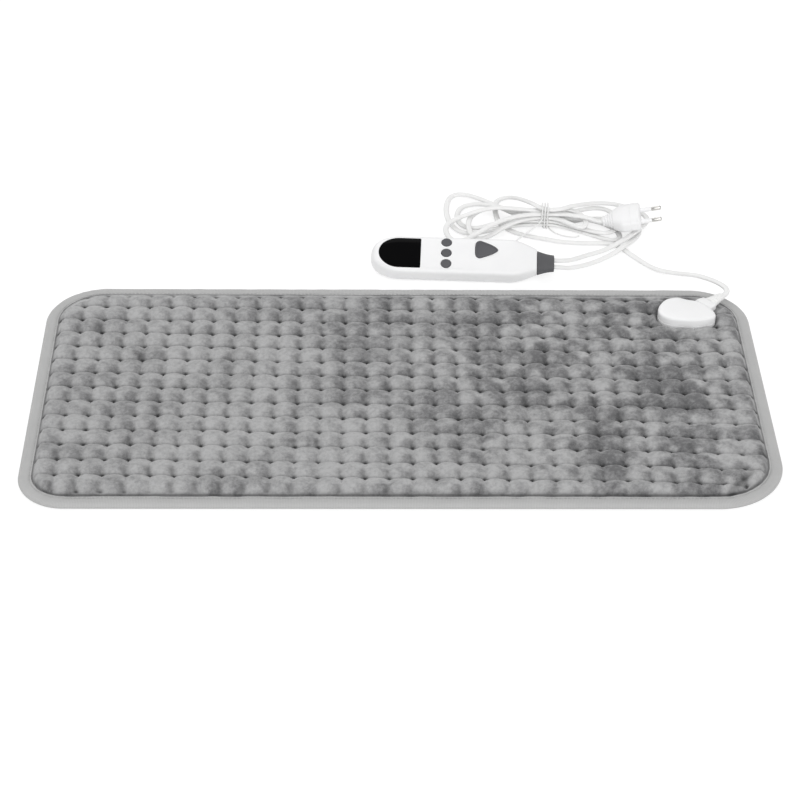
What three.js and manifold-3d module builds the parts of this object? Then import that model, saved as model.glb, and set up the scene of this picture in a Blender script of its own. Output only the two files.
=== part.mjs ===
// Electric heating pad with a detachable hand controller, in millimetres with +Z up.
// The origin is the middle of the pad's underside. +X runs along the pad and +Y away from its user.
import * as THREE from 'three';
import { mergeVertices } from 'three/addons/utils/BufferGeometryUtils.js';
import Module from 'manifold-3d';

const wasm = await Module();
wasm.setup();

// Clearance between touching pieces, and how far a cutter runs past what it cuts
const gap = 0.3;
const overrun = 2;

// Pad outline, binding and sewn layers
const padLength = 600;
const padDepth = 300;
const nearLeftRadius = 38;
const nearRightRadius = 56;
const farRightRadius = 48;
const farLeftRadius = 50;
const bindingWidth = 11;
const bindingHeight = 5.2;
const bindingCloth = 0.9;
const hemThickness = 0.8;
const carrierThickness = 0.5;
const waddingThickness = 1;
const roofThickness = 0.8;
const coverWall = 10;
const recessMargin = 1.1;
const eyeletSides = 8;
const cornerSteps = 4;

// Quilting of the plush cover
const tuftColumns = 31;
const tuftRows = 15;
const tuftPitchX = 18.7;
const tuftPitchY = 19.3;
const crownHeight = 10.4;
const tuftHeight = 8;
const edgeRise = 0.4;
const edgeRun = 10;

// Heating wire and its cut-out
const wireDiameter = 1.8;
const wireRuns = 12;
const wireMargin = 4;
const wireTurnSteps = 4;
const wireSides = 6;
const returnSpacing = 9;
const socketBypass = 32;
const cutoutLength = 12;
const cutoutWidth = 5;
const cutoutHeight = 2.8;
const cutoutX = 0;
const cutoutY = 0;

// Socket on the pad: its centre from the pad's end and far edge, the direction of its plug and its
// shells
const socketFromEnd = 56.2;
const socketFromFarEdge = 52;
const socketX = padLength / 2 - socketFromEnd;
const socketY = padDepth / 2 - socketFromFarEdge;
const socketTurn = THREE.MathUtils.degToRad(42);
const socketHalfLength = 20.3;
const socketHalfWidth = 22.8;
const socketTop = 18;
const socketWall = 1.6;
const socketBaseThickness = 1.8;
const socketEdge = 1.4;
const bossRadius = 4.5;
const plateHalfLength = 9;
const plateHalfWidth = 18;
const socketScrewOffset = 13;
const socketScrewRadius = 1;
const socketScrewHead = 2.2;
const socketScrewHeadHeight = 1;
const socketScrewBite = 1.4;

// Pins of the socket and the plug that slides on them
const pinCount = 3;
const pinPitch = 4.6;
const pinRadius = 0.75;
const pinLength = 18;
const pinSides = 10;
const blockLength = 7;
const blockHalfWidth = 7.5;
const plugOffset = -1.9;
const prongHalfWidth = 8;
const prongHalfHeight = 3.1;
const prongLength = 18.4;
const sleeveWall = 0.4;
const sleeveLength = 9;
const housingHalfWidth = 8.6;
const housingHalfHeight = 3.7;
const housingLength = 9.5;
const reliefLength = 16;
const reliefHalfWidth = 6.6;
const reliefHalfHeight = 3.3;
const reliefEndHalfWidth = 3.4;
const reliefEndHalfHeight = 2.5;
const reliefSteps = 6;
const reliefCurve = 0.8;
const reliefSquareness = 2.6;
const plugSides = 20;
const plugSquareness = 6;
const laneHalfWidth = 9.6;
const connectorTravel = 14;

// Hand controller: its pose on the table and its two shells
const handsetX = -23.1;
const handsetFromPad = 41;
const handsetY = padDepth / 2 + handsetFromPad;
const handsetZ = 2.8;
const handsetYaw = THREE.MathUtils.degToRad(-3.06);
const handsetRoll = THREE.MathUtils.degToRad(18.9);
const handsetLength = 146;
const handsetHalfWidth = 20.5;
const handsetThickness = 19.5;
const handsetWall = 2;
const noseLength = 26;
const noseRise = 15;
const taperLength = 24;
const neckHalfWidth = 12;
const neckHalfHeight = 6.6;
const faceFlatness = 5;
const bellyFlatness = 2.4;
const hullSides = 28;
const noseSteps = 8;
const taperSteps = 6;
const taperCurve = 0.6;

// Display window and its ledge
const windowStart = 7;
const windowLength = 36.8;
const windowHalfWidth = 16.2;
const windowNose = 18;
const windowThickness = 1.2;
const windowLedge = 2;

// Key panel with three round keys, and the pick-shaped key
const panelStart = 46;
const panelLength = 36.5;
const panelHalfWidth = 16;
const panelCorner = 3;
const panelThickness = 0.5;
const panelProud = 0.15;
const keyX = 66.3;
const keyY = 0.5;
const keyPitch = 11.7;
const keyRadius = 4.5;
const keyProud = 0.7;
const keyFlange = 0.9;
const keyFlangeThickness = 0.9;
const flangeDrop = 2.2;
const keyTravel = 0.5;
const stemRadius = 1.5;
const pickX = 101.6;
const pickY = 5.4;
const pickLength = 19.9;
const pickWidth = 19.2;
const pickProud = 0.9;
const pickRim = 1.5;
const pickDish = 0.7;

// Circuit board and what stands on it
const boardStart = 16;
const boardTail = 1;
const boardLength = pickX + pickLength / 2 + boardTail - boardStart;
const boardHalfWidth = 15.6;
const boardCorner = 4;
const boardThickness = 1.6;
const boardDrop = 2.3;
const switchSize = 6;
const switchHeight = 2.6;
const plungerRadius = 1.7;
const plungerHeight = 0.9;
const pillarRadius = 3;
const screwX = 52;
const screwRadius = 1.2;
const screwHead = 2.5;
const screwHeadHeight = 1.4;
const screwLength = 9;
const screwRecess = 1.6;
const screwToPick = 4.55;
const rearScrewX = pickX - pickLength / 2 - screwToPick;

// Parts on the board: start along it, middle across it, length, width and height
const microcontroller = { x: 75, y: 0, length: 7, width: 7, height: 1.6 };
const filmCapacitor = { x: 94, y: -9, length: 15, width: 7.5, height: 4 };
const triac = { x: 82, y: -9, length: 10, width: 6.5, height: 3 };
const fuse = { x: 84, y: 10.5, length: 9, width: 3.4, height: 3.4 };
const displayModule = { x: 16.5, y: 0, length: 26, width: 24, height: 7.4 };

// Strain-relief boot of the controller
const bootLength = 15;
const bootEndHalfWidth = 8.2;
const bootEndHalfHeight = 4.6;
const bootNeckHalfWidth = 8.6;
const bootNeckHalfHeight = 4.2;
const bootFlangeHalfWidth = 9.8;
const bootFlangeHalfHeight = 4.7;
const bootFlangeLength = 4;
const bootSides = 20;
const bootSteps = 6;
const bootCurve = 1.6;

// Flat twin cord
const cordWidth = 5;
const cordThickness = 3;
const cordSpacing = 7.4;
const cordSlack = 0.5;
const cordFlatShare = 0.55;
const cordEdgeShare = 0.4;
const gapStep = 1.5;
const gapApart = 20;

// Hank of the mains cord: the waist held by the tie, and its loops
const waistX = 135.5;
const waistFromPad = 111;
const waistY = padDepth / 2 + waistFromPad;
const waistHeight = 3.5;
const waistColumn = 5.5;
const hankReach = 100;
const loopSteps = 24;
const keySides = 18;
const waistRun = 12;
const waistFall = 0.8;
const midShare = 0.45;
const tipShare = 0.5;
const bulgeShare = 2.6;

// Reach, sideways shift, back bulge, front bulge, height at mid loop and height at the tip of each
// loop, as shares of the hank's reach
const leftLoopShares = [
  [0.89, 0.215, 0.34, 0.295, 0.054, 0.018],
  [0.795, 0.1, 0.23, 0.145, 0.089, 0.018],
  [0.7, -0.105, 0.195, 0.245, 0.1235, 0.065],
  [0.91, -0.18, 0.12, 0.245, 0.163, 0.075],
];
const rightLoopShares = [
  [0.665, -0.2, 0.105, 0.105, 0.017, 0.018],
  [0.65, -0.01, 0.195, 0.18, 0.052, 0.053],
  [0.36, -0.1, 0.1, 0.105, 0.107, 0.105],
];

// Twist tie round the waist: its turns, and the free ends that lie beside the hank
const tieRadius = 0.7;
const tieTurns = 2.85;
const tiePitch = 2.5;
const tieSteps = 16;
const tieSides = 6;
const tieCorners = 7;
const tieHalfWidth = 7.1;
const tieBottom = 0.05;
const tieTop = 21.6;

// Mains plug: where its cord end lies, its lean, and its body and pins
const mainsX = 187;
const mainsFromPad = 102.3;
const mainsY = padDepth / 2 + mainsFromPad;
const mainsZ = 10.5;
const mainsYaw = THREE.MathUtils.degToRad(-4);
const mainsPitch = THREE.MathUtils.degToRad(-12);
const mainsLength = 34.4;
const mainsHalfWidth = 17.6;
const mainsHalfHeight = 6.85;
const mainsTailHalfWidth = 5;
const mainsTailHalfHeight = 4;
const mainsGrip = 19.4;
const mainsPinRadius = 2;
const mainsCoreRadius = 1.3;
const mainsPinLength = 19;
const mainsPinPitch = 19;
const mainsSleeveLength = 10;
const mainsSleeveDepth = 3;
const mainsPinDepth = 6;
const mainsPinRound = 1.2;
const mainsSides = 24;
const mainsSquareness = 3.4;
const mainsSteps = 6;

// Routes of the free cords, as points along their middles
const cordStep = 11;
const tailStep = 5;
const mainsLeadRoute = [
  [137.91, 175.72, 10.83],
  [142.9, 175.45, 10.83],
  [153, 179, 8],
  [170.5, 188.5, 6.2],
  [184, 198.5, 5.6],
  [194, 207.5, 5.5],
  [202.5, 217.5, 5.4],
  [210, 228, 3.8],
  [216, 238.5, 2],
  [220, 248, 1.7],
  [219.5, 257.5, 1.7],
  [212, 265.5, 1.7],
  [199, 269.5, 1.7],
  [186, 270.5, 1.7],
  [175, 270, 1.7],
  [164, 266.8, 1.7],
  [158.5, 264.9, 1.75],
  [153, 263.85, 2.3],
  [147.8, 263.75, 2.68],
];
const mainsTailRoute = [
  [147.8, 258.25, 14],
  [152.8, 258.1, 14],
  [162, 255.2, 14.2],
  [170, 253.6, 14.2],
  [175.8, 252.9, 13],
  [180.5, 252.7, 10.8],
  [183.8, 252.5, 9.85],
  [186.7, 252.3, 10.44],
];
const padCordRoute = [
  [138.29, 182.72, 13.22],
  [143.3, 182.45, 13.22],
  [154, 189, 9.8],
  [170, 201.5, 7],
  [183.5, 209.5, 6.4],
  [194, 217.8, 6.4],
  [203.5, 227, 6.4],
  [213.5, 237, 7.2],
  [223.5, 248, 8.8],
  [228, 259.5, 8.4],
  [224.5, 271, 7.4],
  [213.5, 280, 7.6],
  [199, 284.5, 9],
  [184, 282, 11.2],
  [171.5, 275.5, 14],
  [160, 267.5, 17],
  [150, 261, 18],
  [140, 259.5, 18],
  [132, 262, 18.1],
  [124.5, 269.5, 18],
  [119, 281, 14],
  [113.5, 293, 9],
  [107, 301.5, 5],
  [100, 304.5, 2.6],
  [93.5, 299.5, 1.7],
  [91.5, 286, 1.6],
  [92.5, 271, 1.6],
  [97, 257.5, 1.6],
  [107.5, 247, 1.6],
  [120.8, 240.4, 1.6],
  [134, 235.8, 1.7],
  [147.3, 231.7, 1.7],
  [165, 229.3, 1.7],
  [183, 229.3, 1.7],
  [194, 227.6, 1.7],
  [201.5, 221.5, 1.7],
  [208.5, 211.4, 1.7],
  [220.4, 195.5, 1.7],
  [231, 184.5, 2.4],
  [243, 176.5, 4.6],
  [254, 170.2, 7.2],
];
const padCordEndRoute = [
  [254.26, 170.05, 7.26],
  [263, 164.5, 9.4],
  [273, 156, 11],
  [280.5, 147, 12.4],
  [284.6, 138.5, 13],
  [283.27, 130.98, 13],
  [279.55, 127.64, 13],
];
const tieStartRoute = [
  [106.5, 226.5, 4.8],
  [111, 231.5, 5.6],
  [117, 238, 6.4],
  [124, 245, 7.2],
  [129, 250.5, 8.4],
];
const tieEndRoute = [
  [140.6, 251.5, 1.1],
  [144.5, 246.5, 1],
  [150, 242.8, 1],
  [156, 240.6, 1.1],
  [161.5, 239.4, 1.4],
  [165.5, 240.6, 2.2],
];

// Colours
const plushGrey = 0x8b8b8d;
const bindingGrey = 0x9d9d9d;
const shellWhite = 0xf1f1f1;
const cordWhite = 0xf0f0ef;
const keyGrey = 0x5d5d60;
const bootGrey = 0x58585b;
const glassBlack = 0x050506;
const boardGreen = 0x2e5d46;
const metalGrey = 0xb9b9bb;
const feltCream = 0xd9d4c8;
const capacitorBrown = 0x7c4a2a;

const object = new THREE.Group();

function mesh(name, geometry, color, roughness, metalness) {
  const piece = new THREE.Mesh(geometry, new THREE.MeshStandardMaterial({ color, roughness, metalness }));
  piece.name = name;
  object.add(piece);
}

// A closed solid for cutting and joining, from a closed geometry
function solid(geometry) {
  const bare = geometry.clone();
  bare.deleteAttribute('normal');
  bare.deleteAttribute('uv');
  const merged = mergeVertices(bare);
  const vertProperties = new Float32Array(merged.attributes.position.array);
  const triVerts = new Uint32Array(merged.index.array);
  return new wasm.Manifold(new wasm.Mesh({ numProp: 3, vertProperties, triVerts }));
}

function geometryOf(body) {
  const cut = body.getMesh();
  const geometry = new THREE.BufferGeometry();
  geometry.setAttribute('position', new THREE.BufferAttribute(new Float32Array(cut.vertProperties), 3));
  geometry.setIndex(new THREE.BufferAttribute(new Uint32Array(cut.triVerts), 1));
  geometry.computeVertexNormals();
  return geometry;
}

// Points and triangles as one closed body whose faces point outwards
function closedBody(points, triangles) {
  let volume = 0;
  for (const [a, b, c] of triangles) {
    const normal = new THREE.Vector3().crossVectors(points[b], points[c]);
    volume += points[a].dot(normal);
  }
  const index = triangles.flatMap(([a, b, c]) => (volume < 0 ? [a, c, b] : [a, b, c]));
  const geometry = new THREE.BufferGeometry().setFromPoints(points);
  geometry.setIndex(index);
  geometry.computeVertexNormals();
  return geometry;
}

// Rings of equal count joined into one body, each end closed by a fan round its middle
function loft(rings) {
  const count = rings[0].length;
  const points = rings.flat();
  const triangles = [];
  for (let ring = 0; ring + 1 < rings.length; ring++) {
    for (let side = 0; side < count; side++) {
      const a = ring * count + side;
      const b = ring * count + (side + 1) % count;
      triangles.push([a, b, b + count], [a, b + count, a + count]);
    }
  }
  for (const ring of [0, rings.length - 1]) {
    const middle = new THREE.Vector3();
    rings[ring].forEach((point) => middle.addScaledVector(point, 1 / count));
    const centre = points.push(middle) - 1;
    for (let side = 0; side < count; side++) {
      const a = ring * count + side;
      const b = ring * count + (side + 1) % count;
      triangles.push(ring === 0 ? [centre, b, a] : [centre, a, b]);
    }
  }
  return closedBody(points, triangles);
}

// A flat outline raised from one height to another
function slab(outline, bottom, top, curveSegments = cornerSteps) {
  const depth = top - bottom;
  const geometry = new THREE.ExtrudeGeometry(outline, { depth, bevelEnabled: false, curveSegments });
  return geometry.translate(0, 0, bottom);
}

function box(xMin, xMax, yMin, yMax, zMin, zMax) {
  const geometry = new THREE.BoxGeometry(xMax - xMin, yMax - yMin, zMax - zMin);
  return geometry.translate((xMin + xMax) / 2, (yMin + yMax) / 2, (zMin + zMax) / 2);
}

function uprightCylinder(radius, x, y, bottom, top, sides = 16) {
  const geometry = new THREE.CylinderGeometry(radius, radius, top - bottom, sides);
  return geometry.rotateX(Math.PI / 2).translate(x, y, (bottom + top) / 2);
}

function lyingCylinder(radius, start, end, y, z, sides = 12) {
  const geometry = new THREE.CylinderGeometry(radius, radius, end - start, sides);
  return geometry.rotateZ(Math.PI / 2).translate((start + end) / 2, y, z);
}

// A pad outline with its four corner radii, drawn in from the pad's edge by an inset
function panelOutline(inset) {
  const x = padLength / 2 - inset;
  const y = padDepth / 2 - inset;
  const corners = [
    [1, -1, nearRightRadius - inset],
    [1, 1, farRightRadius - inset],
    [-1, 1, farLeftRadius - inset],
    [-1, -1, nearLeftRadius - inset],
  ];
  const outline = new THREE.Shape();
  corners.forEach(([sideX, sideY, radius], corner) => {
    const start = (corner - 1) * Math.PI / 2;
    outline.absarc(sideX * (x - radius), sideY * (y - radius), radius, start, start + Math.PI / 2, false);
  });
  return outline;
}

// How far a point lies inside the plush field, whose corners are round
function depthInField(x, y, inset) {
  const near = x > 0 ? nearRightRadius : nearLeftRadius;
  const far = x > 0 ? farRightRadius : farLeftRadius;
  const radius = (y > 0 ? far : near) - inset;
  const overX = Math.abs(x) - (padLength / 2 - inset - radius);
  const overY = Math.abs(y) - (padDepth / 2 - inset - radius);
  const outside = Math.hypot(Math.max(overX, 0), Math.max(overY, 0));
  return radius - outside - Math.min(Math.max(overX, overY), 0);
}

// Heights of the pad's layers, from the floor up
const hemBottom = bindingCloth + gap;
const backTop = hemBottom + hemThickness;
const carrierBottom = backTop + gap;
const carrierTop = carrierBottom + carrierThickness;
const wireZ = carrierTop + gap + wireDiameter / 2;
const waddingBottom = wireZ + wireDiameter / 2 + gap;
const waddingTop = waddingBottom + waddingThickness;
const cavityRoof = waddingTop + gap;
const pressedTop = cavityRoof + roofThickness;
const coverEdge = bindingHeight + edgeRise;
const hemTop = bindingHeight - bindingCloth - gap;
const fieldInset = bindingWidth + gap;
const hemInset = bindingCloth + gap;
const cavityInset = fieldInset + coverWall;
const layerInset = cavityInset + gap;

// Socket: its placing on the pad, and the outline that its shell, base and recess share
const socketPlace = new THREE.Matrix4().makeRotationZ(socketTurn).setPosition(socketX, socketY, 0);
const socketShares = [
  [0.98, -0.1],
  [0.92, -0.66],
  [0.75, -0.93],
  [0.5, -1],
  [0, -0.83],
  [-0.6, -0.37],
  [-0.95, 0.1],
  [-0.97, 0.47],
  [-0.72, 0.78],
  [-0.2, 0.98],
  [0.13, 0.99],
  [0.5, 0.82],
  [0.72, 0.46],
  [0.9, 0.2],
];

function socketCorners(inset) {
  return socketShares.map(([along, across]) => new THREE.Vector3(
    along * (socketHalfLength - inset),
    across * (socketHalfWidth - inset),
    0,
  ));
}

function socketOutline(inset) {
  const curve = new THREE.CatmullRomCurve3(socketCorners(inset), true, 'centripetal');
  return curve.getPoints(socketShares.length * 2).slice(1);
}

function flatShape(points) {
  return new THREE.Shape(points.map((point) => new THREE.Vector2(point.x, point.y)));
}

// An outline raised through a list of insets and heights
function stack(outline, levels) {
  return loft(levels.map(([inset, z]) => outline(inset).map(({ x, y }) => new THREE.Vector3(x, y, z))));
}

const socketBottom = pressedTop + gap;
const socketBaseTop = socketBottom + socketBaseThickness;
const pinZ = socketTop - socketWall - gap - prongHalfHeight;
const plateOutline = new THREE.Shape();
plateOutline.absellipse(0, 0, plateHalfLength, plateHalfWidth, 0, Math.PI * 2);
const pocketOutline = new THREE.Shape();
pocketOutline.absellipse(0, 0, plateHalfLength + gap, plateHalfWidth + gap, 0, Math.PI * 2);

// Pad: cloth back, heated layer, wadding, quilted plush and binding
function makeBackCover() {
  const hem = solid(slab(panelOutline(hemInset), hemBottom, backTop));
  const field = solid(slab(panelOutline(fieldInset), 0, backTop));
  return geometryOf(hem.add(field));
}

function makeCarrier() {
  return slab(panelOutline(layerInset), carrierBottom, carrierTop);
}

function makeWadding() {
  const sheet = solid(slab(panelOutline(layerInset), waddingBottom, waddingTop));
  const pocket = slab(pocketOutline, waddingBottom - overrun, waddingTop + overrun, cornerSteps);
  const window = box(
    cutoutX - cutoutLength / 2 - gap,
    cutoutX + cutoutLength / 2 + gap,
    cutoutY - cutoutWidth / 2 - gap,
    cutoutY + cutoutWidth / 2 + gap,
    waddingBottom - overrun,
    waddingTop + overrun,
  );
  return geometryOf(sheet.subtract(solid(pocket.applyMatrix4(socketPlace))).subtract(solid(window)));
}

// Height of the plush: full inside the field, easing down to the binding
function plushHeight(x, y, full) {
  const share = THREE.MathUtils.clamp(depthInField(x, y, fieldInset) / edgeRun, 0, 1);
  return coverEdge + (full - coverEdge) * Math.sin(share * Math.PI / 2);
}

// Lines of tufts across the field, centred on the pad
function tuftLines(count, pitch) {
  const lines = [];
  for (let line = 0; line < count; line++) {
    lines.push((line - (count - 1) / 2) * pitch);
  }
  return lines;
}

// The quilted block: a tuft at every crossing, a crown in the middle of every cell, and a strip that
// falls to the binding all round
function quiltedBlock() {
  const xs = tuftLines(tuftColumns, tuftPitchX);
  const ys = tuftLines(tuftRows, tuftPitchY);
  const points = [];
  const triangles = [];
  const node = (column, row) => row * xs.length + column;
  for (const y of ys) {
    for (const x of xs) {
      points.push(new THREE.Vector3(x, y, plushHeight(x, y, tuftHeight)));
    }
  }
  for (let row = 0; row + 1 < ys.length; row++) {
    for (let column = 0; column + 1 < xs.length; column++) {
      const a = node(column, row);
      const b = node(column + 1, row);
      const c = node(column + 1, row + 1);
      const d = node(column, row + 1);
      const x = (xs[column] + xs[column + 1]) / 2;
      const y = (ys[row] + ys[row + 1]) / 2;
      const crown = points.push(new THREE.Vector3(x, y, plushHeight(x, y, crownHeight))) - 1;
      triangles.push([a, b, crown], [b, c, crown], [c, d, crown], [d, a, crown]);
    }
  }
  const chains = [
    xs.map((x, column) => node(column, 0)),
    ys.map((y, row) => node(xs.length - 1, row)),
    xs.map((x, column) => node(xs.length - 1 - column, ys.length - 1)),
    ys.map((y, row) => node(0, ys.length - 1 - row)),
  ];
  const halfX = padLength / 2 - fieldInset;
  const halfY = padDepth / 2 - fieldInset;
  const corners = [[-halfX, -halfY], [halfX, -halfY], [halfX, halfY], [-halfX, halfY]];
  const rim = corners.map(([x, y]) => points.push(new THREE.Vector3(x, y, coverEdge)) - 1);
  const foot = (carrierBottom + hemTop) / 2;
  const feet = corners.map(([x, y]) => points.push(new THREE.Vector3(x, y, foot)) - 1);
  chains.forEach((chain, side) => {
    const next = (side + 1) % chains.length;
    chain.slice(1).forEach((tuft, index) => triangles.push([rim[side], tuft, chain[index]]));
    triangles.push([rim[side], rim[next], chain[chain.length - 1]]);
    triangles.push([rim[side], feet[side], rim[next]], [rim[next], feet[side], feet[next]]);
  });
  triangles.push([feet[0], feet[2], feet[1]], [feet[0], feet[3], feet[2]]);
  return closedBody(points, triangles);
}

function makeTopCover() {
  const high = crownHeight + overrun;
  const field = solid(slab(panelOutline(fieldInset), carrierBottom - overrun, high));
  const hem = solid(slab(panelOutline(hemInset), carrierBottom, hemTop));
  const cavity = solid(slab(panelOutline(cavityInset), carrierBottom - overrun, cavityRoof));
  const recess = slab(flatShape(socketCorners(-recessMargin)), pressedTop, high);
  const lane = box(
    0,
    socketHalfLength + housingLength + reliefLength + connectorTravel,
    plugOffset - laneHalfWidth,
    plugOffset + laneHalfWidth,
    pinZ - housingHalfHeight - gap,
    high,
  );
  const boss = uprightCylinder(bossRadius + 2 * gap, 0, 0, cavityRoof - overrun, high, pinSides);
  let cover = solid(quiltedBlock()).intersect(field).add(hem).subtract(cavity);
  for (const cutter of [recess, lane, boss]) {
    cover = cover.subtract(solid(cutter.applyMatrix4(socketPlace)));
  }
  for (const side of [-1, 1]) {
    const hole = uprightCylinder(socketScrewRadius + gap, 0, side * socketScrewOffset, 0, high, eyeletSides);
    cover = cover.subtract(solid(hole.applyMatrix4(socketPlace)));
  }
  return geometryOf(cover);
}

function makeBinding() {
  const outer = solid(slab(panelOutline(0), 0, bindingHeight));
  const channel = solid(slab(panelOutline(bindingCloth), bindingCloth, bindingHeight - bindingCloth));
  const opening = solid(slab(panelOutline(bindingWidth), -overrun, bindingHeight + overrun));
  return geometryOf(outer.subtract(channel).subtract(opening));
}

// A route that keeps its own stations. The section's broad axis is kept level, or carried along
// without twist where the route climbs
class StationRoute extends THREE.Curve {
  constructor(stations, level) {
    super();
    this.stations = stations;
    this.level = level;
  }

  getSpacedPoints() {
    return this.stations;
  }

  computeFrenetFrames() {
    const last = this.stations.length - 1;
    const frames = { tangents: [], normals: [], binormals: [] };
    this.stations.forEach((station, index) => {
      const before = this.stations[Math.max(index - 1, 0)];
      const after = this.stations[Math.min(index + 1, last)];
      const tangent = after.clone().sub(before).normalize();
      let normal = new THREE.Vector3(-tangent.y, tangent.x, 0).normalize();
      if (!this.level && index > 0) {
        normal = frames.normals[index - 1].clone();
        normal.addScaledVector(tangent, -normal.dot(tangent)).normalize();
      }
      frames.tangents.push(tangent);
      frames.normals.push(normal);
      frames.binormals.push(tangent.clone().cross(normal));
    });
    return frames;
  }
}

function tube(section, stations, level = true) {
  const extrudePath = new StationRoute(stations, level);
  const geometry = new THREE.ExtrudeGeometry(section, { steps: stations.length - 1, extrudePath });
  geometry.deleteAttribute('uv');
  geometry.deleteAttribute('normal');
  const merged = mergeVertices(geometry);
  merged.computeVertexNormals();
  return merged;
}

function roundSection(radius, sides) {
  const points = [];
  for (let side = 0; side < sides; side++) {
    const angle = side / sides * Math.PI * 2;
    points.push(new THREE.Vector2(radius * Math.cos(angle), radius * Math.sin(angle)));
  }
  return new THREE.Shape(points);
}

// Heating wire: runs along the pad with half-round turns, both ends at the socket's boss
const wireHalfDepth = padDepth / 2 - cavityInset - wireMargin;
const wireHalfLength = padLength / 2 - cavityInset - wireMargin;
const wirePitch = 2 * wireHalfDepth / (wireRuns - 1);
const turnRadius = wirePitch / 2;

function arcStations(x, y, radius, from, to, steps) {
  const stations = [];
  for (let step = 0; step <= steps; step++) {
    const angle = from + (to - from) * step / steps;
    stations.push(new THREE.Vector3(x + radius * Math.cos(angle), y + radius * Math.sin(angle), wireZ));
  }
  return stations;
}

// Middle of the turn at one side of the pad, kept inside the round corners by an extra inset
function turnCentre(side, y, extra) {
  const inset = cavityInset + wireMargin + turnRadius + extra;
  const near = side > 0 ? nearRightRadius : nearLeftRadius;
  const far = side > 0 ? farRightRadius : farLeftRadius;
  const radius = Math.max((y > 0 ? far : near) - inset, 0);
  const over = Math.max(Math.abs(y) - (padDepth / 2 - inset - radius), 0);
  return side * (padLength / 2 - inset - radius + Math.sqrt(Math.max(radius * radius - over * over, 0)));
}

function wireStations() {
  const quarter = Math.PI / 2;
  const shortEnd = socketX - socketBypass - turnRadius;
  const startX = socketX - wireDiameter - gap;
  const firstY = wireHalfDepth - turnRadius;
  const stations = [new THREE.Vector3(startX, socketY, wireZ)];
  stations.push(...arcStations(startX - turnRadius, firstY, turnRadius, 0, quarter, wireTurnSteps));
  for (let run = 0; run + 1 < wireRuns; run++) {
    const y = firstY - run * wirePitch;
    const goingLeft = run % 2 === 0;
    const nearSocket = y > socketY - socketHalfWidth - turnRadius;
    const rightEnd = nearSocket ? shortEnd : turnCentre(1, y, returnSpacing);
    const x = goingLeft ? turnCentre(-1, y, 0) : rightEnd;
    const sweep = goingLeft ? Math.PI : -Math.PI;
    stations.push(...arcStations(x, y, turnRadius, quarter, quarter + sweep, 2 * wireTurnSteps));
  }
  const cornerRadius = nearRightRadius - cavityInset - wireMargin;
  const cornerX = wireHalfLength - cornerRadius;
  const cornerY = cornerRadius - wireHalfDepth;
  stations.push(...arcStations(cornerX, cornerY, cornerRadius, -quarter, 0, wireTurnSteps));
  const lastX = wireHalfLength - turnRadius;
  stations.push(...arcStations(lastX, socketY - turnRadius, turnRadius, 0, quarter, wireTurnSteps));
  stations.push(new THREE.Vector3(socketX + wireDiameter + gap, socketY, wireZ));
  return stations;
}

// Socket pieces, all in the socket's own frame: +X towards its plug
const pinStart = 1.3 - blockLength;

function makeSocketShell() {
  const rise = socketTop - socketEdge;
  const outer = solid(stack(socketOutline, [
    [0, socketBottom],
    [0, rise],
    [socketEdge * 0.25, socketTop - socketEdge * 0.35],
    [socketEdge, socketTop],
  ]));
  const inside = flatShape(socketOutline(socketWall));
  const hollow = solid(slab(inside, socketBottom - overrun, socketTop - socketWall));
  const mouth = solid(box(
    0,
    socketHalfLength + overrun,
    plugOffset - prongHalfWidth - gap,
    plugOffset + prongHalfWidth + gap,
    pinZ - prongHalfHeight - gap,
    pinZ + prongHalfHeight + gap,
  ));
  return geometryOf(outer.subtract(hollow).subtract(mouth));
}

function makeSocketBase() {
  const plate = solid(slab(flatShape(socketOutline(socketWall + gap)), socketBottom, socketBaseTop));
  const boss = solid(uprightCylinder(bossRadius, 0, 0, waddingBottom, socketBottom + gap));
  let base = plate.add(boss);
  for (const side of [-1, 1]) {
    const y = side * socketScrewOffset;
    const hole = uprightCylinder(socketScrewRadius + gap, 0, y, 0, socketBottom + socketScrewBite, pinSides);
    base = base.subtract(solid(hole));
  }
  return geometryOf(base);
}

function makeSocketPlate() {
  let plate = solid(slab(plateOutline, waddingBottom, waddingTop));
  plate = plate.subtract(solid(uprightCylinder(bossRadius + gap, 0, 0, 0, socketTop)));
  for (const side of [-1, 1]) {
    const y = side * socketScrewOffset;
    plate = plate.subtract(solid(uprightCylinder(socketScrewRadius + gap, 0, y, 0, socketTop, pinSides)));
  }
  return geometryOf(plate);
}

function makeSocketScrew(y) {
  const headTop = waddingBottom - gap;
  const headBottom = headTop - socketScrewHeadHeight;
  const head = solid(uprightCylinder(socketScrewHead, 0, y, headBottom, headTop, pinSides));
  const tip = socketBottom + socketScrewBite - gap;
  const shank = solid(uprightCylinder(socketScrewRadius, 0, y, headTop - gap, tip, pinSides));
  return geometryOf(head.add(shank));
}

function pinY(index) {
  return plugOffset + (index - (pinCount - 1) / 2) * pinPitch;
}

function makeContactBlock() {
  const end = pinStart + blockLength;
  let block = solid(box(
    pinStart,
    end,
    plugOffset - blockHalfWidth,
    plugOffset + blockHalfWidth,
    socketBaseTop + gap,
    pinZ + prongHalfHeight,
  ));
  for (let index = 0; index < pinCount; index++) {
    const hole = lyingCylinder(pinRadius + gap, pinStart + gap, end + overrun, pinY(index), pinZ, pinSides);
    block = block.subtract(solid(hole));
  }
  return geometryOf(block);
}

// Rounded oblong section for plugs, boots and their necks
function oblong(x, halfWidth, halfHeight, y, z, sides, squareness) {
  const points = [];
  for (let side = 0; side < sides; side++) {
    const angle = side / sides * Math.PI * 2;
    const across = Math.sign(Math.cos(angle)) * Math.abs(Math.cos(angle)) ** (2 / squareness);
    const up = Math.sign(Math.sin(angle)) * Math.abs(Math.sin(angle)) ** (2 / squareness);
    points.push(new THREE.Vector3(x, y + halfWidth * across, z + halfHeight * up));
  }
  return points;
}

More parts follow.
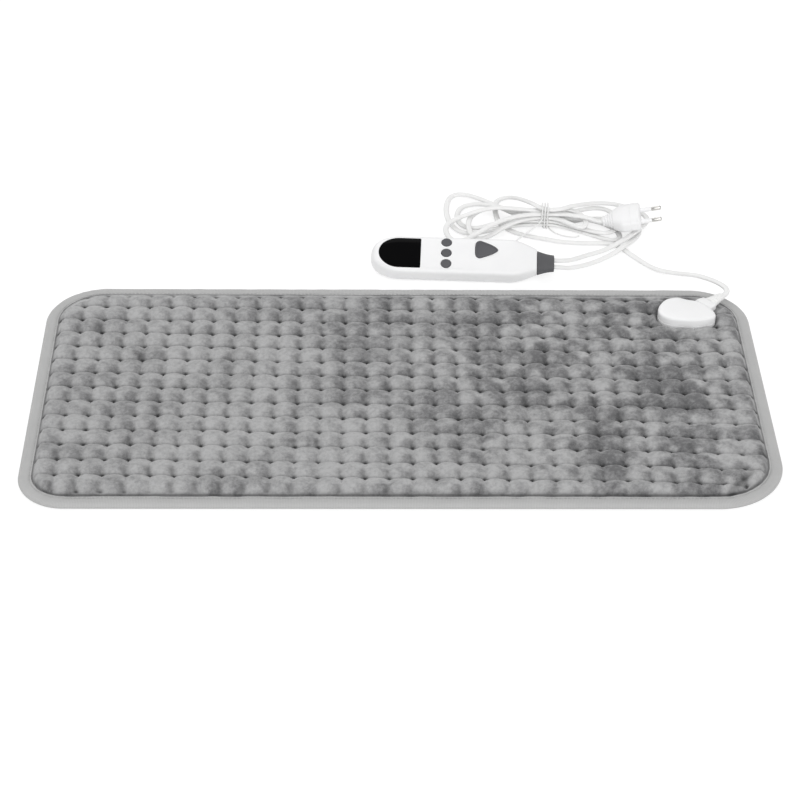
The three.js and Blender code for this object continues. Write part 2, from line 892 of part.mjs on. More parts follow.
function makeConnectorBody() {
  const front = pinStart + blockLength + 2 * gap;
  const shoulder = front + prongLength;
  const back = shoulder + housingLength;
  const ring = (x, halfWidth, halfHeight) => (
    oblong(x, halfWidth, halfHeight, plugOffset, pinZ, plugSides, plugSquareness)
  );
  let body = solid(loft([
    ring(front, prongHalfWidth - gap, prongHalfHeight - gap),
    ring(front + 2 * gap, prongHalfWidth, prongHalfHeight),
    ring(shoulder, prongHalfWidth, prongHalfHeight),
    ring(shoulder + gap, housingHalfWidth, housingHalfHeight),
    ring(back - 2 * gap, housingHalfWidth - 1.5 * gap, housingHalfHeight - gap),
    ring(back, housingHalfWidth - 3 * gap, housingHalfHeight - 2 * gap),
  ]));
  const depth = pinStart + pinLength + gap;
  for (let index = 0; index < pinCount; index++) {
    const bore = pinRadius + gap + sleeveWall + gap;
    body = body.subtract(solid(lyingCylinder(bore, front - overrun, depth, pinY(index), pinZ, pinSides)));
  }
  return geometryOf(body);
}

function makeConnectorSleeve(index) {
  const start = pinStart + pinLength - sleeveLength;
  const end = pinStart + pinLength;
  const outer = solid(lyingCylinder(pinRadius + gap + sleeveWall, start, end, pinY(index), pinZ, pinSides));
  const bore = lyingCylinder(pinRadius + gap, start - overrun, end + overrun, pinY(index), pinZ, pinSides);
  return geometryOf(outer.subtract(solid(bore)));
}

// Relief of the pad cord, tapering to the cord
function makeConnectorRelief() {
  const start = pinStart + blockLength + 2 * gap + prongLength + housingLength + gap;
  const rings = [];
  for (let step = 0; step <= reliefSteps; step++) {
    const share = step / reliefSteps;
    const x = start + reliefLength * share;
    const halfWidth = reliefHalfWidth + (reliefEndHalfWidth - reliefHalfWidth) * share ** reliefCurve;
    const halfHeight = reliefHalfHeight + (reliefEndHalfHeight - reliefHalfHeight) * share;
    rings.push(oblong(x, halfWidth, halfHeight, plugOffset, pinZ, plugSides, reliefSquareness));
  }
  return loft(rings);
}

// Controller shells: half width and half height of the body at a station, drawn in by an inset
const middleZ = handsetThickness / 2;

function hullSection(x, inset) {
  let halfWidth = handsetHalfWidth - inset;
  let halfHeight = middleZ - inset;
  if (x < noseLength) {
    halfWidth *= Math.sqrt(Math.max(1 - ((noseLength - x) / (noseLength - inset)) ** 2, 0));
  }
  if (x < noseRise) {
    const back = ((noseRise - x) / (noseRise - inset)) ** faceFlatness;
    halfHeight *= Math.max(1 - back, 0) ** (1 / bellyFlatness);
  }
  const share = Math.max((x - handsetLength + taperLength) / taperLength, 0);
  const narrowing = share * share * (1 + taperCurve - taperCurve * share);
  halfWidth -= (handsetHalfWidth - neckHalfWidth) * narrowing;
  halfHeight -= (middleZ - neckHalfHeight) * narrowing;
  return { halfWidth, halfHeight };
}

function hullRing(x, inset) {
  const { halfWidth, halfHeight } = hullSection(x, inset);
  const points = [];
  for (let side = 0; side < hullSides; side++) {
    const angle = side / hullSides * Math.PI * 2;
    const cos = Math.cos(angle);
    const sin = Math.sin(angle);
    const flatness = sin > 0 ? faceFlatness : bellyFlatness;
    const y = halfWidth * Math.sign(cos) * Math.abs(cos) ** (2 / flatness);
    const z = middleZ + halfHeight * Math.sign(sin) * Math.abs(sin) ** (2 / flatness);
    points.push(new THREE.Vector3(x, y, z));
  }
  return points;
}

function hull(inset) {
  const rings = [];
  for (let step = 0; step < noseSteps; step++) {
    const angle = (step + tipShare) / noseSteps * Math.PI / 2;
    const x = inset + (noseLength - inset) * (1 - Math.cos(angle));
    rings.push(hullRing(x, inset));
  }
  rings.push(hullRing(noseLength, inset));
  for (let step = 0; step <= taperSteps; step++) {
    const x = handsetLength - taperLength + (taperLength - inset) * step / taperSteps;
    rings.push(hullRing(x, inset));
  }
  return solid(loft(rings));
}

// D-shaped window: half an ellipse towards the nose, square towards the keys
function windowOutline(inset) {
  const outline = new THREE.Shape();
  const end = windowStart + windowLength - inset;
  const half = windowHalfWidth - inset;
  const start = windowStart + windowNose;
  outline.moveTo(end, -half);
  outline.lineTo(end, half);
  outline.lineTo(start, half);
  outline.absellipse(start, 0, windowNose - inset, half, Math.PI / 2, Math.PI * 1.5, false);
  return outline;
}

function roundedOblong(xMin, xMax, half, corner) {
  const outline = new THREE.Shape();
  outline.absarc(xMax - corner, half - corner, corner, 0, Math.PI / 2);
  outline.absarc(xMin + corner, half - corner, corner, Math.PI / 2, Math.PI);
  outline.absarc(xMin + corner, corner - half, corner, Math.PI, Math.PI * 1.5);
  outline.absarc(xMax - corner, corner - half, corner, Math.PI * 1.5, Math.PI * 2);
  return outline;
}

function panelShape(inset) {
  return roundedOblong(
    panelStart + inset,
    panelStart + panelLength - inset,
    panelHalfWidth - inset,
    panelCorner,
  );
}

// Pick-shaped key: a triangle with bowed sides and round corners, its tip towards the cord
const pickShares = [
  [1, 0],
  [0.62, 0.42],
  [-0.2, 0.84],
  [-0.62, 0.98],
  [-0.9, 0.8],
  [-1, 0],
  [-0.9, -0.8],
  [-0.62, -0.98],
  [-0.2, -0.84],
  [0.62, -0.42],
];

function pickOutline(inset) {
  const points = pickShares.map(([along, across]) => new THREE.Vector3(
    pickX + along * (pickLength / 2 - inset),
    pickY + across * (pickWidth / 2 - inset),
    0,
  ));
  return new THREE.CatmullRomCurve3(points, true, 'centripetal').getPoints(pickShares.length * 2).slice(1);
}

const keyRow = [-1, 0, 1].map((row) => keyY + row * keyPitch);
const boardTop = middleZ - boardDrop + boardThickness;
const switchTop = boardTop + gap + switchHeight;
const stemBottom = switchTop + plungerHeight + gap + keyTravel;
const roofZ = handsetThickness - handsetWall;
const flangeTop = roofZ - gap - flangeDrop;
const flangeBottom = flangeTop - keyFlangeThickness;
const screwPlaces = [screwX, rearScrewX];
const pillarTop = boardTop - boardThickness - gap;

// Screws come from below, through the bottom shell's pillars into the top shell's posts
function makeTopShell(outer, inner) {
  const high = handsetThickness + overrun;
  let shell = outer.subtract(inner);
  shell = shell.intersect(solid(box(
    -overrun,
    handsetLength + overrun,
    -handsetHalfWidth - overrun,
    handsetHalfWidth + overrun,
    middleZ + gap / 2,
    high,
  )));
  const postBottom = boardTop - boardThickness;
  const bite = screwRecess + screwHeadHeight + screwLength;
  screwPlaces.forEach((x) => {
    const post = uprightCylinder(pillarRadius - gap, x, 0, postBottom, roofZ + gap, pinSides);
    const bore = uprightCylinder(screwRadius + gap, x, 0, 0, bite, pinSides);
    shell = shell.add(solid(post)).subtract(solid(bore));
  });
  const windowBottom = handsetThickness - windowThickness - gap;
  shell = shell.subtract(solid(slab(windowOutline(-gap), windowBottom, high)));
  shell = shell.subtract(solid(slab(windowOutline(windowLedge), middleZ, high)));
  const recessFloor = hull(panelThickness + gap - panelProud);
  shell = shell.subtract(solid(slab(panelShape(-gap), middleZ, high)).subtract(recessFloor));
  keyRow.forEach((y) => {
    shell = shell.subtract(solid(uprightCylinder(keyRadius + gap, keyX, y, middleZ, high, keySides)));
  });
  shell = shell.subtract(solid(slab(flatShape(pickOutline(-gap)), middleZ, high)));
  return shell;
}

function makeBottomShell(outer, inner) {
  let shell = outer.subtract(inner);
  shell = shell.intersect(solid(box(
    -overrun,
    handsetLength + overrun,
    -handsetHalfWidth - overrun,
    handsetHalfWidth + overrun,
    -overrun,
    middleZ - gap / 2,
  )));
  const headTop = screwRecess + screwHeadHeight;
  screwPlaces.forEach((x) => {
    shell = shell.add(solid(uprightCylinder(pillarRadius + gap, x, 0, handsetWall - gap, pillarTop)));
    shell = shell.subtract(solid(uprightCylinder(screwHead + gap, x, 0, -overrun, headTop, pinSides)));
    shell = shell.subtract(solid(uprightCylinder(screwRadius + gap, x, 0, 0, handsetThickness, pinSides)));
  });
  return shell;
}

function makeWindow(outer) {
  const plate = slab(windowOutline(0), handsetThickness - windowThickness, handsetThickness + overrun);
  return outer.intersect(solid(plate));
}

function makePanel() {
  const high = handsetThickness + overrun;
  const skin = hull(-panelProud).subtract(hull(panelThickness - panelProud));
  let panel = skin.intersect(solid(slab(panelShape(0), middleZ, high)));
  keyRow.forEach((y) => {
    panel = panel.subtract(solid(uprightCylinder(keyRadius + gap, keyX, y, middleZ, high, keySides)));
  });
  return panel;
}

function makeKey(y) {
  const top = handsetThickness + keyProud;
  const flangeRadius = keyRadius + keyFlange;
  const profile = [
    [0, stemBottom],
    [stemRadius, stemBottom],
    [stemRadius, flangeBottom],
    [flangeRadius, flangeBottom],
    [flangeRadius, flangeTop],
    [keyRadius, flangeTop],
    [keyRadius, top - 2 * gap],
    [keyRadius - gap, top - gap],
    [keyRadius - 3 * gap, top],
    [0, top],
  ].map(([radius, height]) => new THREE.Vector2(radius, height));
  return new THREE.LatheGeometry(profile, keySides).rotateX(Math.PI / 2).translate(keyX, y, 0);
}

function makePick() {
  const top = handsetThickness + pickProud;
  const cap = solid(stack(pickOutline, [
    [-keyFlange, flangeBottom],
    [-keyFlange, flangeTop],
    [0, flangeTop],
    [0, top - gap],
    [gap, top],
    [pickRim, top],
    [pickRim + gap, top - pickDish / 2],
    [pickRim * 2, top - pickDish],
  ]));
  const stem = solid(uprightCylinder(stemRadius, pickX, pickY, stemBottom, flangeBottom + gap));
  return geometryOf(cap.add(stem));
}

function makeSwitch(x, y) {
  const half = switchSize / 2;
  const body = solid(box(x - half, x + half, y - half, y + half, boardTop + gap, switchTop));
  const plunger = solid(uprightCylinder(plungerRadius, x, y, switchTop - gap, switchTop + plungerHeight));
  return geometryOf(body.add(plunger));
}

function makeBoard() {
  const outline = roundedOblong(boardStart, boardStart + boardLength, boardHalfWidth, boardCorner);
  let board = solid(slab(outline, boardTop - boardThickness, boardTop));
  screwPlaces.forEach((x) => {
    board = board.subtract(solid(uprightCylinder(pillarRadius, x, 0, 0, handsetThickness)));
  });
  return geometryOf(board);
}

function makeHandsetScrew(x) {
  const headTop = screwRecess + screwHeadHeight - gap;
  const head = solid(uprightCylinder(screwHead, x, 0, screwRecess - gap, headTop, pinSides));
  const shank = solid(uprightCylinder(screwRadius, x, 0, headTop - gap, headTop + screwLength, pinSides));
  return geometryOf(head.add(shank));
}

// Boot: a flange behind the end wall, a neck through it and a tapering sleeve outside
function bootRing(x, halfWidth, halfHeight) {
  return oblong(x, halfWidth, halfHeight, 0, middleZ, bootSides, bellyFlatness);
}

function makeBoot() {
  const wallStart = handsetLength - handsetWall - gap;
  const outside = handsetLength + gap;
  const rings = [
    bootRing(wallStart - bootFlangeLength, bootFlangeHalfWidth, bootFlangeHalfHeight),
    bootRing(wallStart, bootFlangeHalfWidth, bootFlangeHalfHeight),
    bootRing(wallStart, bootNeckHalfWidth, bootNeckHalfHeight),
    bootRing(outside, bootNeckHalfWidth, bootNeckHalfHeight),
  ];
  for (let step = 0; step <= bootSteps; step++) {
    const share = step / bootSteps;
    const taper = (1 - share) ** bootCurve;
    const halfWidth = bootEndHalfWidth + (neckHalfWidth - bootEndHalfWidth) * taper;
    const halfHeight = bootEndHalfHeight + (neckHalfHeight - bootEndHalfHeight) * taper;
    rings.push(bootRing(outside + bootLength * share, halfWidth, halfHeight));
  }
  return loft(rings);
}

// Hank: loops about the waist, each a smooth lobe that is drawn in to the waist's two columns
const levelPitch = cordThickness + cordSlack;

function ease(share) {
  const t = THREE.MathUtils.clamp(share, 0, 1);
  return t * t * (3 - 2 * t);
}

// A point of a lobe: reach follows the turn's cosine, and its width is the waist's half column
// and a bulge that grows with the square of the reach
function lobePoint(shares, angle, side, waistZ, climb) {
  const sizes = shares.map((share) => share * hankReach);
  const [reach, shift, backBulge, frontBulge, midHeight, tipHeight] = sizes;
  const out = Math.abs(Math.cos(angle));
  const across = Math.sin(angle);
  const bulge = across > 0 ? backBulge : frontBulge;
  const x = waistX + side * reach * out;
  const y = waistY + shift * out * out + across * (waistColumn / 2 + bulgeShare * bulge * out * out);
  const middle = midHeight + climb;
  const rise = (middle - waistZ) * ease(out / midShare);
  const fall = (tipHeight - middle) * ease((out - midShare) / tipShare);
  return new THREE.Vector3(x, y, waistZ + rise + fall);
}

function hankStations() {
  const half = loopSteps / 2;
  const stations = [];
  leftLoopShares.forEach((left, turn) => {
    const waistZ = waistHeight + turn * levelPitch;
    for (let step = 0; step <= half; step++) {
      stations.push(lobePoint(left, Math.PI / 2 + Math.PI * step / half, -1, waistZ, 0));
    }
    if (turn < rightLoopShares.length) {
      const right = rightLoopShares[turn];
      for (let step = 1; step < half; step++) {
        const angle = Math.PI * 1.5 + Math.PI * step / half;
        const climbed = Math.sin(angle) > 0;
        const climb = climbed ? levelPitch : 0;
        stations.push(lobePoint(right, angle, 1, waistZ + climb, climb));
      }
    }
  });
  const first = stations[0];
  const last = stations[stations.length - 1];
  stations.unshift(new THREE.Vector3(first.x + waistRun, first.y, first.z - waistFall));
  stations.push(new THREE.Vector3(last.x + waistRun, last.y, last.z));
  return stations;
}

// Sections of the flat cord: eight corners where it lies free, six in the hank
function flatSection(corners) {
  const lower = corners.map(([x, y]) => [-x, -y]);
  return new THREE.Shape([...corners, ...lower].map(([x, y]) => new THREE.Vector2(x, y)));
}

function cordSection() {
  const half = cordWidth / 2;
  const thick = cordThickness / 2;
  const flat = half * cordFlatShare;
  const edge = thick * cordEdgeShare;
  return flatSection([[half, edge], [flat, thick], [-flat, thick], [-half, edge]]);
}

function hankSection() {
  const half = cordWidth / 2;
  const thick = cordThickness / 2;
  const flat = half * cordFlatShare;
  return flatSection([[half, 0], [flat, thick], [-flat, thick]]);
}

// Least distance between stretches of a flat cord that are apart along it, from points laid along
// its stations and across its width
function leastGap(stations) {
  const rows = [];
  let along = 0;
  for (let index = 0; index + 1 < stations.length; index++) {
    const from = stations[index];
    const to = stations[index + 1];
    const length = from.distanceTo(to);
    const steps = Math.ceil(length / gapStep);
    const direction = to.clone().sub(from).divideScalar(length);
    const across = new THREE.Vector3(-direction.y, direction.x, 0).normalize();
    for (let step = 0; step < steps; step++) {
      const share = step / steps;
      for (const side of [-1, 0, 1]) {
        const point = from.clone().lerp(to, share);
        point.addScaledVector(across, side * (cordWidth - cordThickness) / 2);
        rows.push({ point, along: along + length * share });
      }
    }
    along += length;
  }
  let least = Infinity;
  rows.forEach((one, index) => {
    for (let other = index + 1; other < rows.length; other++) {
      const two = rows[other];
      if (two.along - one.along > gapApart) {
        least = Math.min(least, one.point.distanceToSquared(two.point));
      }
    }
  });
  return Math.sqrt(least) - cordThickness;
}

// Stations of a free cord, evenly spaced but for its straight first and last lengths
function cordStations(route, spacing) {
  const points = route.map(([x, y, z]) => new THREE.Vector3(x, y, z));
  const curve = new THREE.CatmullRomCurve3(points, false, 'catmullrom');
  const ends = [points[1], points[points.length - 2]];
  const spaced = curve.getSpacedPoints(Math.round(curve.getLength() / spacing)).slice(1, -1);
  const inner = spaced.filter((point) => ends.every((end) => point.distanceTo(end) > spacing / 2));
  return [points[0], points[1], ...inner, ...points.slice(-2)];
}

// Twist tie: its first free end, its turns round the waist and its second free end
function tieStations() {
  const middle = (tieBottom + tieTop) / 2;
  const halfHeight = (tieTop - tieBottom) / 2 - tieRadius;
  const halfWidth = tieHalfWidth;
  const startX = waistX - tieTurns * tiePitch / 2;
  const stations = tieStartRoute.map(([x, y, z]) => new THREE.Vector3(x, y, z));
  for (let step = 0; step <= tieTurns * tieSteps; step++) {
    const turn = step / tieSteps;
    const angle = Math.PI * (1 - 2 * turn);
    const cos = Math.cos(angle);
    const sin = Math.sin(angle);
    const y = waistY + halfWidth * Math.sign(cos) * Math.abs(cos) ** (2 / tieCorners);
    const z = middle + halfHeight * Math.sign(sin) * Math.abs(sin) ** (2 / tieCorners);
    stations.push(new THREE.Vector3(startX + tiePitch * turn, y, z));
  }
  stations.push(...tieEndRoute.map(([x, y, z]) => new THREE.Vector3(x, y, z)));
  return stations;
}

// Mains plug, in its own frame: +X from the cord to the pins
function mainsRing(x, halfWidth, halfHeight) {
  return oblong(x, halfWidth, halfHeight, 0, 0, mainsSides, mainsSquareness);
}

function makeMainsBody() {
  const rings = [];
  for (let step = 0; step <= mainsSteps; step++) {
    const share = step / mainsSteps;
    const swell = ease(share);
    const halfWidth = mainsTailHalfWidth + (mainsHalfWidth - mainsTailHalfWidth) * swell;
    const halfHeight = mainsTailHalfHeight + (mainsHalfHeight - mainsTailHalfHeight) * swell;
    rings.push(mainsRing(mainsGrip * share, halfWidth, halfHeight));
  }
  rings.push(mainsRing(mainsLength - gap, mainsHalfWidth, mainsHalfHeight));
  rings.push(mainsRing(mainsLength, mainsHalfWidth - gap, mainsHalfHeight - gap));
  let body = solid(loft(rings));
  for (const side of [-1, 1]) {
    const y = side * mainsPinPitch / 2;
    const end = mainsLength + overrun;
    const sleeveBore = lyingCylinder(mainsPinRadius + gap, mainsLength - mainsSleeveDepth - gap, end, y, 0);
    const pinBore = lyingCylinder(mainsCoreRadius + gap, mainsLength - mainsPinDepth - gap, end, y, 0);
    body = body.subtract(solid(sleeveBore)).subtract(solid(pinBore));
  }
  return geometryOf(body);
}

function turned(profile, y, sides) {
  const points = profile.map(([radius, x]) => new THREE.Vector2(radius, x));
  return new THREE.LatheGeometry(points, sides).rotateZ(-Math.PI / 2).translate(0, y, 0);
}

function makeMainsPin(y) {
  const start = mainsLength - mainsPinDepth;
  const bare = mainsLength + mainsSleeveLength + gap;
  const tip = mainsLength + mainsPinLength;
  return turned([
    [0, start],
    [mainsCoreRadius, start],
    [mainsCoreRadius, bare],
    [mainsPinRadius, bare],
    [mainsPinRadius, tip - mainsPinRound],
    [mainsPinRadius * Math.SQRT1_2, tip - mainsPinRound * (1 - Math.SQRT1_2)],
    [0, tip],
  ], y, bootSides);
}

function makePinSleeve(y) {
  const start = mainsLength - mainsSleeveDepth;
  const end = mainsLength + mainsSleeveLength;
  const inner = mainsCoreRadius + gap;
  return turned([
    [inner, start],
    [mainsPinRadius, start],
    [mainsPinRadius, end],
    [inner, end],
    [inner, start],
  ], y, bootSides);
}

// The pad
mesh('pad_cover_top', makeTopCover(), plushGrey, 0.95, 0);
mesh('pad_cover_bottom', makeBackCover(), plushGrey, 0.95, 0);
mesh('edge_binding', makeBinding(), bindingGrey, 0.9, 0);
mesh('heating_carrier', makeCarrier(), feltCream, 0.95, 0);
mesh('heating_wire', tube(roundSection(wireDiameter / 2, wireSides), wireStations()), cordWhite, 0.6, 0);
mesh('wadding_sheet', makeWadding(), feltCream, 0.95, 0);
mesh('thermal_cutout', box(
  cutoutX - cutoutLength / 2,
  cutoutX + cutoutLength / 2,
  cutoutY - cutoutWidth / 2,
  cutoutY + cutoutWidth / 2,
  carrierTop + gap,
  carrierTop + gap + cutoutHeight,
), metalGrey, 0.4, 0.8);

// The socket on the pad and its plug
function onPad(name, geometry, color, roughness, metalness) {
  mesh(name, geometry.applyMatrix4(socketPlace), color, roughness, metalness);
}

onPad('socket_shell', makeSocketShell(), shellWhite, 0.35, 0);
onPad('socket_base', makeSocketBase(), shellWhite, 0.4, 0);
onPad('socket_backing_plate', makeSocketPlate(), shellWhite, 0.4, 0);
onPad('contact_block', makeContactBlock(), bootGrey, 0.5, 0);
[-1, 1].forEach((side, index) => {
  onPad(`socket_screw_${index + 1}`, makeSocketScrew(side * socketScrewOffset), metalGrey, 0.3, 1);
});
for (let index = 0; index < pinCount; index++) {
  const pinEnd = pinStart + pinLength;
  const pin = lyingCylinder(pinRadius, pinStart + 2 * gap, pinEnd, pinY(index), pinZ, pinSides);
  onPad(`socket_pin_${index + 1}`, pin, metalGrey, 0.3, 1);
  onPad(`connector_contact_${index + 1}`, makeConnectorSleeve(index), metalGrey, 0.3, 1);
}
onPad('connector_body', makeConnectorBody(), shellWhite, 0.35, 0);
onPad('connector_relief', makeConnectorRelief(), cordWhite, 0.5, 0);

// The hand controller
const handsetPlace = new THREE.Matrix4().makeRotationZ(handsetYaw);
handsetPlace.multiply(new THREE.Matrix4().makeRotationX(handsetRoll));
handsetPlace.setPosition(handsetX, handsetY, handsetZ);

function inHandset(name, geometry, color, roughness, metalness) {
  mesh(name, geometry.applyMatrix4(handsetPlace), color, roughness, metalness);
}

function component(name, { x, y, length, width, height }, color) {
  const floor = boardTop + gap;
  const half = width / 2;
  inHandset(name, box(x, x + length, y - half, y + half, floor, floor + height), color, 0.5, 0);
}

const outerHull = hull(0);
const innerHull = hull(handsetWall);
const bootHole = solid(loft([
  bootRing(handsetLength - handsetWall - overrun, bootNeckHalfWidth + gap, bootNeckHalfHeight + gap),
  bootRing(handsetLength + overrun, bootNeckHalfWidth + gap, bootNeckHalfHeight + gap),
]));
const topShell = makeTopShell(outerHull, innerHull).subtract(bootHole);
const bottomShell = makeBottomShell(outerHull, innerHull).subtract(bootHole);
inHandset('handset_top_shell', geometryOf(topShell), shellWhite, 0.4, 0);
inHandset('handset_bottom_shell', geometryOf(bottomShell), shellWhite, 0.4, 0);
inHandset('display_window', geometryOf(makeWindow(outerHull)), glassBlack, 0.08, 0);
inHandset('key_panel', geometryOf(makePanel()), shellWhite, 0.35, 0);
keyRow.forEach((y, index) => inHandset(`round_key_${index + 1}`, makeKey(y), keyGrey, 0.5, 0));
inHandset('pick_key', makePick(), keyGrey, 0.5, 0);
inHandset('circuit_board', makeBoard(), boardGreen, 0.5, 0);
keyRow.forEach((y, index) => inHandset(`tact_switch_${index + 1}`, makeSwitch(keyX, y), bootGrey, 0.5, 0));
inHandset('tact_switch_4', makeSwitch(pickX, pickY), bootGrey, 0.5, 0);
component('display_module', displayModule, glassBlack);
component('microcontroller', microcontroller, glassBlack);
component('film_capacitor', filmCapacitor, capacitorBrown);
component('triac', triac, glassBlack);
component('fuse', fuse, cordWhite);
screwPlaces.forEach((x, index) => {
  inHandset(`handset_screw_${index + 1}`, makeHandsetScrew(x), metalGrey, 0.3, 1);
});
inHandset('strain_relief_boot', makeBoot(), bootGrey, 0.6, 0);

// The mains plug
const mainsPlace = new THREE.Matrix4().makeRotationZ(mainsYaw);
mainsPlace.multiply(new THREE.Matrix4().makeRotationY(mainsPitch)).setPosition(mainsX, mainsY, mainsZ);
mesh('plug_body', makeMainsBody().applyMatrix4(mainsPlace), shellWhite, 0.4, 0);
[-1, 1].forEach((side, index) => {
  const y = side * mainsPinPitch / 2;
  mesh(`plug_pin_${index + 1}`, makeMainsPin(y).applyMatrix4(mainsPlace), metalGrey, 0.25, 1);
  mesh(`pin_sleeve_${index + 1}`, makePinSleeve(y).applyMatrix4(mainsPlace), bootGrey, 0.5, 0);
});

// The cords
const hankLine = hankStations();
mesh('mains_lead', tube(cordSection(), cordStations(mainsLeadRoute, cordStep)), cordWhite, 0.5, 0);
mesh('mains_hank', tube(hankSection(), hankLine), cordWhite, 0.5, 0);
mesh('mains_tail', tube(cordSection(), cordStations(mainsTailRoute, tailStep)), cordWhite, 0.5, 0);
mesh('pad_cord', tube(cordSection(), cordStations(padCordRoute, cordStep)), cordWhite, 0.5, 0);
mesh('pad_cord_end', tube(cordSection(), cordStations(padCordEndRoute, cordStep)), cordWhite, 0.5, 0);
mesh('cord_tie', tube(roundSection(tieRadius, tieSides), tieStations(), false), cordWhite, 0.5, 0);
console.log(`least gap of the hank to itself ${leastGap(hankLine).toFixed(2)} mm`);

export default object;
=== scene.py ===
import math

import bpy
import numpy as np
from bpy.props import FloatProperty, FloatVectorProperty, PointerProperty
from mathutils import Matrix


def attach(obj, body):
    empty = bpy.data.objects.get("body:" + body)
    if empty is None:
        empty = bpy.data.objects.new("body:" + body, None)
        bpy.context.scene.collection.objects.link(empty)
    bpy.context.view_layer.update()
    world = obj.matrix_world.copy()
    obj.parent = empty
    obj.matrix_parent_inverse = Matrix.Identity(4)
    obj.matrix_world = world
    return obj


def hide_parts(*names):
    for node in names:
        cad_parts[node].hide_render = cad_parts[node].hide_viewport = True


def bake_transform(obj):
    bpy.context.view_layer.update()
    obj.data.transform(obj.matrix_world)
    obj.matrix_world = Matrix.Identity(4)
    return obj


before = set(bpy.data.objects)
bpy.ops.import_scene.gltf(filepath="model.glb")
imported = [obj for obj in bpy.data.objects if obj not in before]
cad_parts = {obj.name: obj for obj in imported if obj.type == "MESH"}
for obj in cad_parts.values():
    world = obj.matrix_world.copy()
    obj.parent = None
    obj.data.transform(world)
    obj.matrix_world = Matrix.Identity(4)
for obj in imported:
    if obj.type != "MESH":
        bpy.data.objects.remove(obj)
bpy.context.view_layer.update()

bl_info = {
    "name": "Heating pad",
    "version": (1, 0, 0),
    "blender": (4, 5, 0),
    "location": "View3D > Sidebar > Heating pad",
    "description": "Quilted heating pad with its socket, hand controller, cords and mains plug",
    "category": "Object",
}

TAU = 2 * math.pi
QUARTER = math.pi / 2

# Edges that turn by more than these angles stay sharp
SKIN_SHARP, SLAB_SHARP, CUT_SHARP = math.radians(38), math.radians(70), math.radians(30)
NOISE_TABLE, NOISE_ORIGIN, NOISE_LAYERS = 256, (101.3, 77.7), 3


# Settings

def size(name, default, text):
    return FloatProperty(
        name=name, description=text, default=default, min=0, precision=4, unit="LENGTH"
    )


def offset(name, default, text):
    return FloatProperty(name=name, description=text, default=default, unit="LENGTH")


def turn(name, degrees, text):
    angle = math.radians(degrees)
    return FloatProperty(name=name, description=text, default=angle, subtype="ANGLE")


def tint(name, default, text):
    return FloatVectorProperty(
        name=name, description=text, default=default, size=3, min=0, max=1, subtype="COLOR"
    )


class PadSettings(bpy.types.PropertyGroup):
    length: size("Length", 0.6, "Length of the pad over its binding")
    depth: size("Depth", 0.3, "Depth of the pad over its binding")
    near_left: size("Near left corner", 0.038, "Corner radius")
    near_right: size("Near right corner", 0.056, "Corner radius")
    far_right: size("Far right corner", 0.048, "Corner radius")
    far_left: size("Far left corner", 0.05, "Corner radius")
    binding_width: size("Binding width", 0.011, "Width of the folded binding on top of the pad")
    binding_height: size("Binding height", 0.0052, "Thickness of the bound edge")
    binding_cloth: size("Binding cloth", 0.0009, "Thickness of the knitted binding cloth")
    pitch_x: size("Tuft pitch along", 0.01855, "Distance between tufts along the pad")
    pitch_y: size("Tuft pitch across", 0.0193, "Distance between tufts across the pad")
    column_shift: size("Column shift", 0.0091, "Place of the first column right of the middle")
    row_shift: size("Row shift", 0.0075, "Place of the first row in front of the middle")
    column_skew: FloatProperty(name="Column skew", description="Lean of the columns", default=0.012)
    row_skew: FloatProperty(name="Row skew", description="Lean of the rows", default=0.0165)
    corner_pull: size("Corner pull", 0.0034, "How far the rows are pulled at the near right corner")
    tuft_height: size("Tuft height", 0.0069, "Height of the sewn points")
    crown_height: size("Crown height", 0.0112, "Height of the puffs between the tufts")
    pressed_height: size("Pressed height", 0.0071, "Height of the plush under the socket")
    stitch_pitch: size("Stitch pitch", 0.0034, "Distance between stitches in the binding")


class SocketSettings(bpy.types.PropertyGroup):
    x: size("Along the pad", 0.2438, "Middle of the socket")
    y: size("Across the pad", 0.098, "Middle of the socket")
    heading: turn("Heading", 42, "Direction of the plug from the socket")
    half_length: size("Half length", 0.0203, "Half of the socket's length")
    half_width: size("Half width", 0.0228, "Half of the socket's width")
    bottom: size("Bottom", 0.0076, "Underside of the socket")
    top: size("Top", 0.018, "Top of the socket")
    wall: size("Wall", 0.0016, "Thickness of the socket's shell")
    plug_offset: offset("Plug offset", -0.0019, "Plug axis beside the socket's middle")
    plug_height: size("Plug height", 0.013, "Height of the plug's axis")


class ControllerSettings(bpy.types.PropertyGroup):
    x: offset("Nose along the pad", -0.0231, "Place of the nose")
    y: size("Nose behind the pad", 0.191, "Place of the nose")
    z: size("Nose height", 0.0028, "Height of the body's lowest line at the nose")
    yaw: turn("Yaw", -3.06, "Turn on the table")
    roll: turn("Roll", 18.9, "Lean towards the user")
    length: size("Length", 0.146, "Length of the body")
    half_width: size("Half width", 0.0205, "Half of the body's width")
    thickness: size("Thickness", 0.0195, "Thickness of the body")
    wall: size("Wall", 0.002, "Thickness of the shells")
    nose: size("Nose", 0.026, "Length of the rounded nose")
    taper: size("Taper", 0.024, "Length of the narrowing end")
    neck_half_width: size("Neck half width", 0.012, "Half width where the boot starts")
    neck_half_height: size("Neck half height", 0.0066, "Half height where the boot starts")
    boot: size("Boot", 0.015, "Length of the strain relief boot")


class CordSettings(bpy.types.PropertyGroup):
    width: size("Width", 0.005, "Width of the flat twin cord")
    thickness: size("Thickness", 0.003, "Thickness of the flat twin cord")
    tie_radius: size("Tie radius", 0.0007, "Radius of the twist tie")
    hank_reach: size("Hank reach", 0.1, "Length that the loops' shares are taken from")


